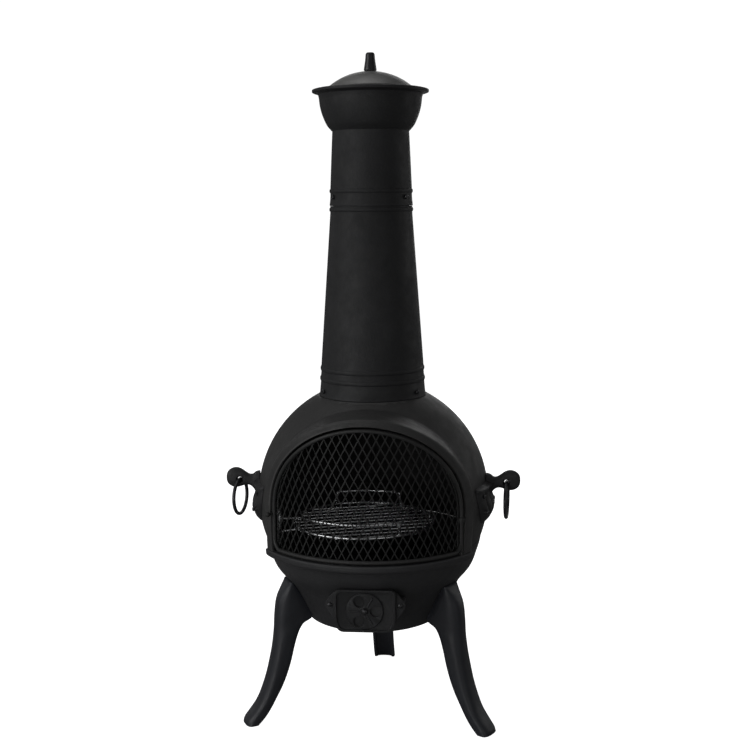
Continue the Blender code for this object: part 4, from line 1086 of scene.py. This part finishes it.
def make_fasteners():
    for node in sorted(frame["nodes"]):
        if "_screw_" in node:
            make_screw(node)
        elif "_bolt_" in node:
            make_screw(node, False)
        elif "_nut" in node:
            make_nut(node, 0.003)


# ---- small inside parts ---------------------------------------------------------------------
def make_grate():
    low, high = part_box("fire_grate")
    radius = (high.x - low.x) / 2
    grate = turned([(0.0, high.z), (radius, high.z), (radius - 0.004, low.z), (0.0, low.z)], 96)
    slots = []
    for i in range(-5, 6):
        x = i * 0.024
        half = sqrt((radius - 0.016) ** 2 - x * x)
        if half > 0.02:
            slots.append(slot_block(x, half, low.z - CUT_PAST, high.z + CUT_PAST))
    grate = softened(combined(grate, slots, "DIFFERENCE"), 0.0012, 2, 40)
    place_iron("grate_casting", grate, SOOT, "fire_grate")


def make_grill_pivot():
    """The pin that the grill swings on and the two plate eyes that hold it."""
    low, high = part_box("grill_post")
    post = [(0.0, high.z), (0.0034, high.z), (0.004, high.z - 0.001), (0.004, low.z + 0.001),
            (0.0034, low.z), (0.0, low.z)]
    post = turned(post, 32)
    post.transform(Matrix.Translation((PIVOT.x, PIVOT.y, 0)))
    place("grill_pin", post, ZINC, "body", ["grill_post"], "fastener_steel")
    for name in ("grill_post_bracket_lower", "grill_post_bracket_upper"):
        low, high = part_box(name)
        tab = block((low.x, PIVOT.y - 0.007, low.z), (PIVOT.x, PIVOT.y + 0.007, high.z))
        eye = upright(0.008, low.z, high.z, PIVOT)
        bore = upright(0.0043, low.z - CUT_PAST, high.z + CUT_PAST, PIVOT)
        tab = combined(combined(tab, [eye]), [bore], "DIFFERENCE")
        place(name + "_tab", softened(tab, 0.0006, 2), MESH_PAINT, "body", [name], "door_steel")


def make_hinge_eye():
    low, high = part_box("door_hinge_eye")
    low, high = low - FLUE, high - FLUE
    hinge = on_door(DOOR_HALF, 0.0)
    eye = upright(0.0056, low.z, high.z, hinge)
    bore = upright(0.004, low.z - CUT_PAST, high.z + CUT_PAST, hinge)
    start = (hinge.x - 0.001, hinge.y + 0.0042, low.z + 0.001)
    tail = block(start, (high.x, hinge.y + 0.0125, high.z - 0.001))
    eye = combined(combined(eye, [tail]), [bore], "DIFFERENCE")
    eye = softened(eye, 0.0007, 2)
    place("hinge_eye_casting", eye, MESH_PAINT, "body", ["door_hinge_eye"], "door_steel")


def upright(radius, low, high, axis):
    """A plain round slug standing on an upright axis, for adding or cutting."""
    slug = turned([(0, low), (radius, low), (radius, high), (0, high)], 48)
    slug.transform(Matrix.Translation((axis.x, axis.y, 0)))
    return slug


def slot_block(x, half, low, high):
    """A round-ended slot's cutter."""
    radius = 0.0065
    outline = []
    for middle, first in ((half - radius, 0.0), (radius - half, pi)):
        for i in range(13):
            a = first + pi * i / 12
            outline.append((x + radius * cos(a), middle + radius * sin(a)))
    return lofted([[(px, py, low) for px, py in outline], [(px, py, high) for px, py in outline]])


# ---- studio ---------------------------------------------------------------------------------
def make_studio():
    bm = bmesh.new()
    bmesh.ops.create_grid(bm, x_segments=1, y_segments=1, size=40)
    floor = bpy.data.objects.new("floor", to_mesh(bm))
    SCENE.collection.objects.link(floor)
    floor.data.materials.append(floor_white())

    world = bpy.data.worlds.new("studio")
    SCENE.world = world
    world.use_nodes = True
    tree = world.node_tree
    sky = tree.nodes["Background"]
    set_inputs(sky, {"Color": (1, 1, 1, 1), "Strength": 0.07})
    backdrop = tree.nodes.new("ShaderNodeBackground")
    set_inputs(backdrop, {"Color": (1, 1, 1, 1), "Strength": 1.05})
    shown = backdrop.outputs["Background"]
    by_camera_ray(tree, sky.outputs["Background"], shown, tree.nodes["World Output"])
    SCENE.view_settings.view_transform = "Standard"

    softbox("key", (-2.9, -1.8, 1.8), 2.0, 35)
    softbox("top", (-0.5, 0.0, 3.4), 2.0, 17)
    softbox("rim_right", (2.6, 1.2, 1.2), 2.0, 8)
    softbox("rim_left", (-2.6, 1.4, 1.0), 1.8, 3)
    softbox("back", (0.3, 3.4, 1.6), 2.4, 26)
    softbox("fill", (1.8, -3.0, 1.0), 2.0, 8)
    softbox("low_fill", (-1.0, -2.2, 0.12), 1.2, 15, (0, 0, 0.3))


def by_camera_ray(tree, lighting, seen, output):
    """Shows one shader and lights with the other, as a bright backdrop behind a shaded set does."""
    ray = tree.nodes.new("ShaderNodeLightPath")
    mix = tree.nodes.new("ShaderNodeMixShader")
    tree.links.new(ray.outputs["Is Camera Ray"], mix.inputs["Fac"])
    tree.links.new(lighting, mix.inputs[1])
    tree.links.new(seen, mix.inputs[2])
    tree.links.new(mix.outputs["Shader"], output.inputs["Surface"])


def floor_white():
    """A pale floor, bright enough to meet the backdrop, that still takes the soft shadow under the feet."""
    mat = bpy.data.materials.new("floor_white")
    mat.use_nodes = True
    tree = mat.node_tree
    shader = tree.nodes["Principled BSDF"]
    set_inputs(shader, {"Base Color": (0.24, 0.24, 0.24, 1), "Roughness": 0.9})
    glow = tree.nodes.new("ShaderNodeBsdfPrincipled")
    set_inputs(glow, {"Base Color": (0.8, 0.8, 0.8, 1), "Roughness": 0.9})
    set_inputs(glow, {"Emission Color": (1, 1, 1, 1), "Emission Strength": 1.0})
    by_camera_ray(tree, shader.outputs["BSDF"], glow.outputs["BSDF"], tree.nodes["Material Output"])
    return mat


def softbox(name, position, size, watts, target=(0, 0, 0.6)):
    """A large square light aimed at the object."""
    light = bpy.data.lights.new(name, "AREA")
    light.size = size
    light.energy = watts
    lamp = bpy.data.objects.new(name, light)
    lamp.location = position
    aim = Vector(target) - Vector(position)
    lamp.rotation_mode = "QUATERNION"
    lamp.rotation_quaternion = aim.to_track_quat("-Z", "Y")
    SCENE.collection.objects.link(lamp)


def make_camera():
    """Stands a little right of the front, slightly above and looking down."""
    azimuth, pitch, roll = radians(5.0158), radians(8.0533), radians(-0.4225)
    distance, height = 2.2871, 0.9764
    camera = bpy.data.cameras.new("camera")
    camera.lens = 58.29
    camera.sensor_width = 36
    camera.clip_start = 0.05
    shooter = bpy.data.objects.new("camera", camera)
    SCENE.collection.objects.link(shooter)
    shooter.location = (distance * sin(azimuth), FLUE.y - distance * cos(azimuth), height)
    off_axis = atan(2.4494 / 1214.3)
    yaw = azimuth - off_axis
    turn = Matrix.Rotation(yaw, 4, "Z") @ Matrix.Rotation(pi / 2 - pitch, 4, "X")
    turn = turn @ Matrix.Rotation(roll, 4, "Z")
    shooter.rotation_mode = "QUATERNION"
    shooter.rotation_quaternion = turn.to_quaternion()
    SCENE.camera = shooter


make_dome()
make_bowl()
make_chimney()
make_crown()
make_lid()
make_legs()
make_door()
make_grill()
make_vent()
make_handle("right")
make_handle("left")
make_fasteners()
make_grate()
make_grill_pivot()
make_hinge_eye()
make_studio()
make_camera()
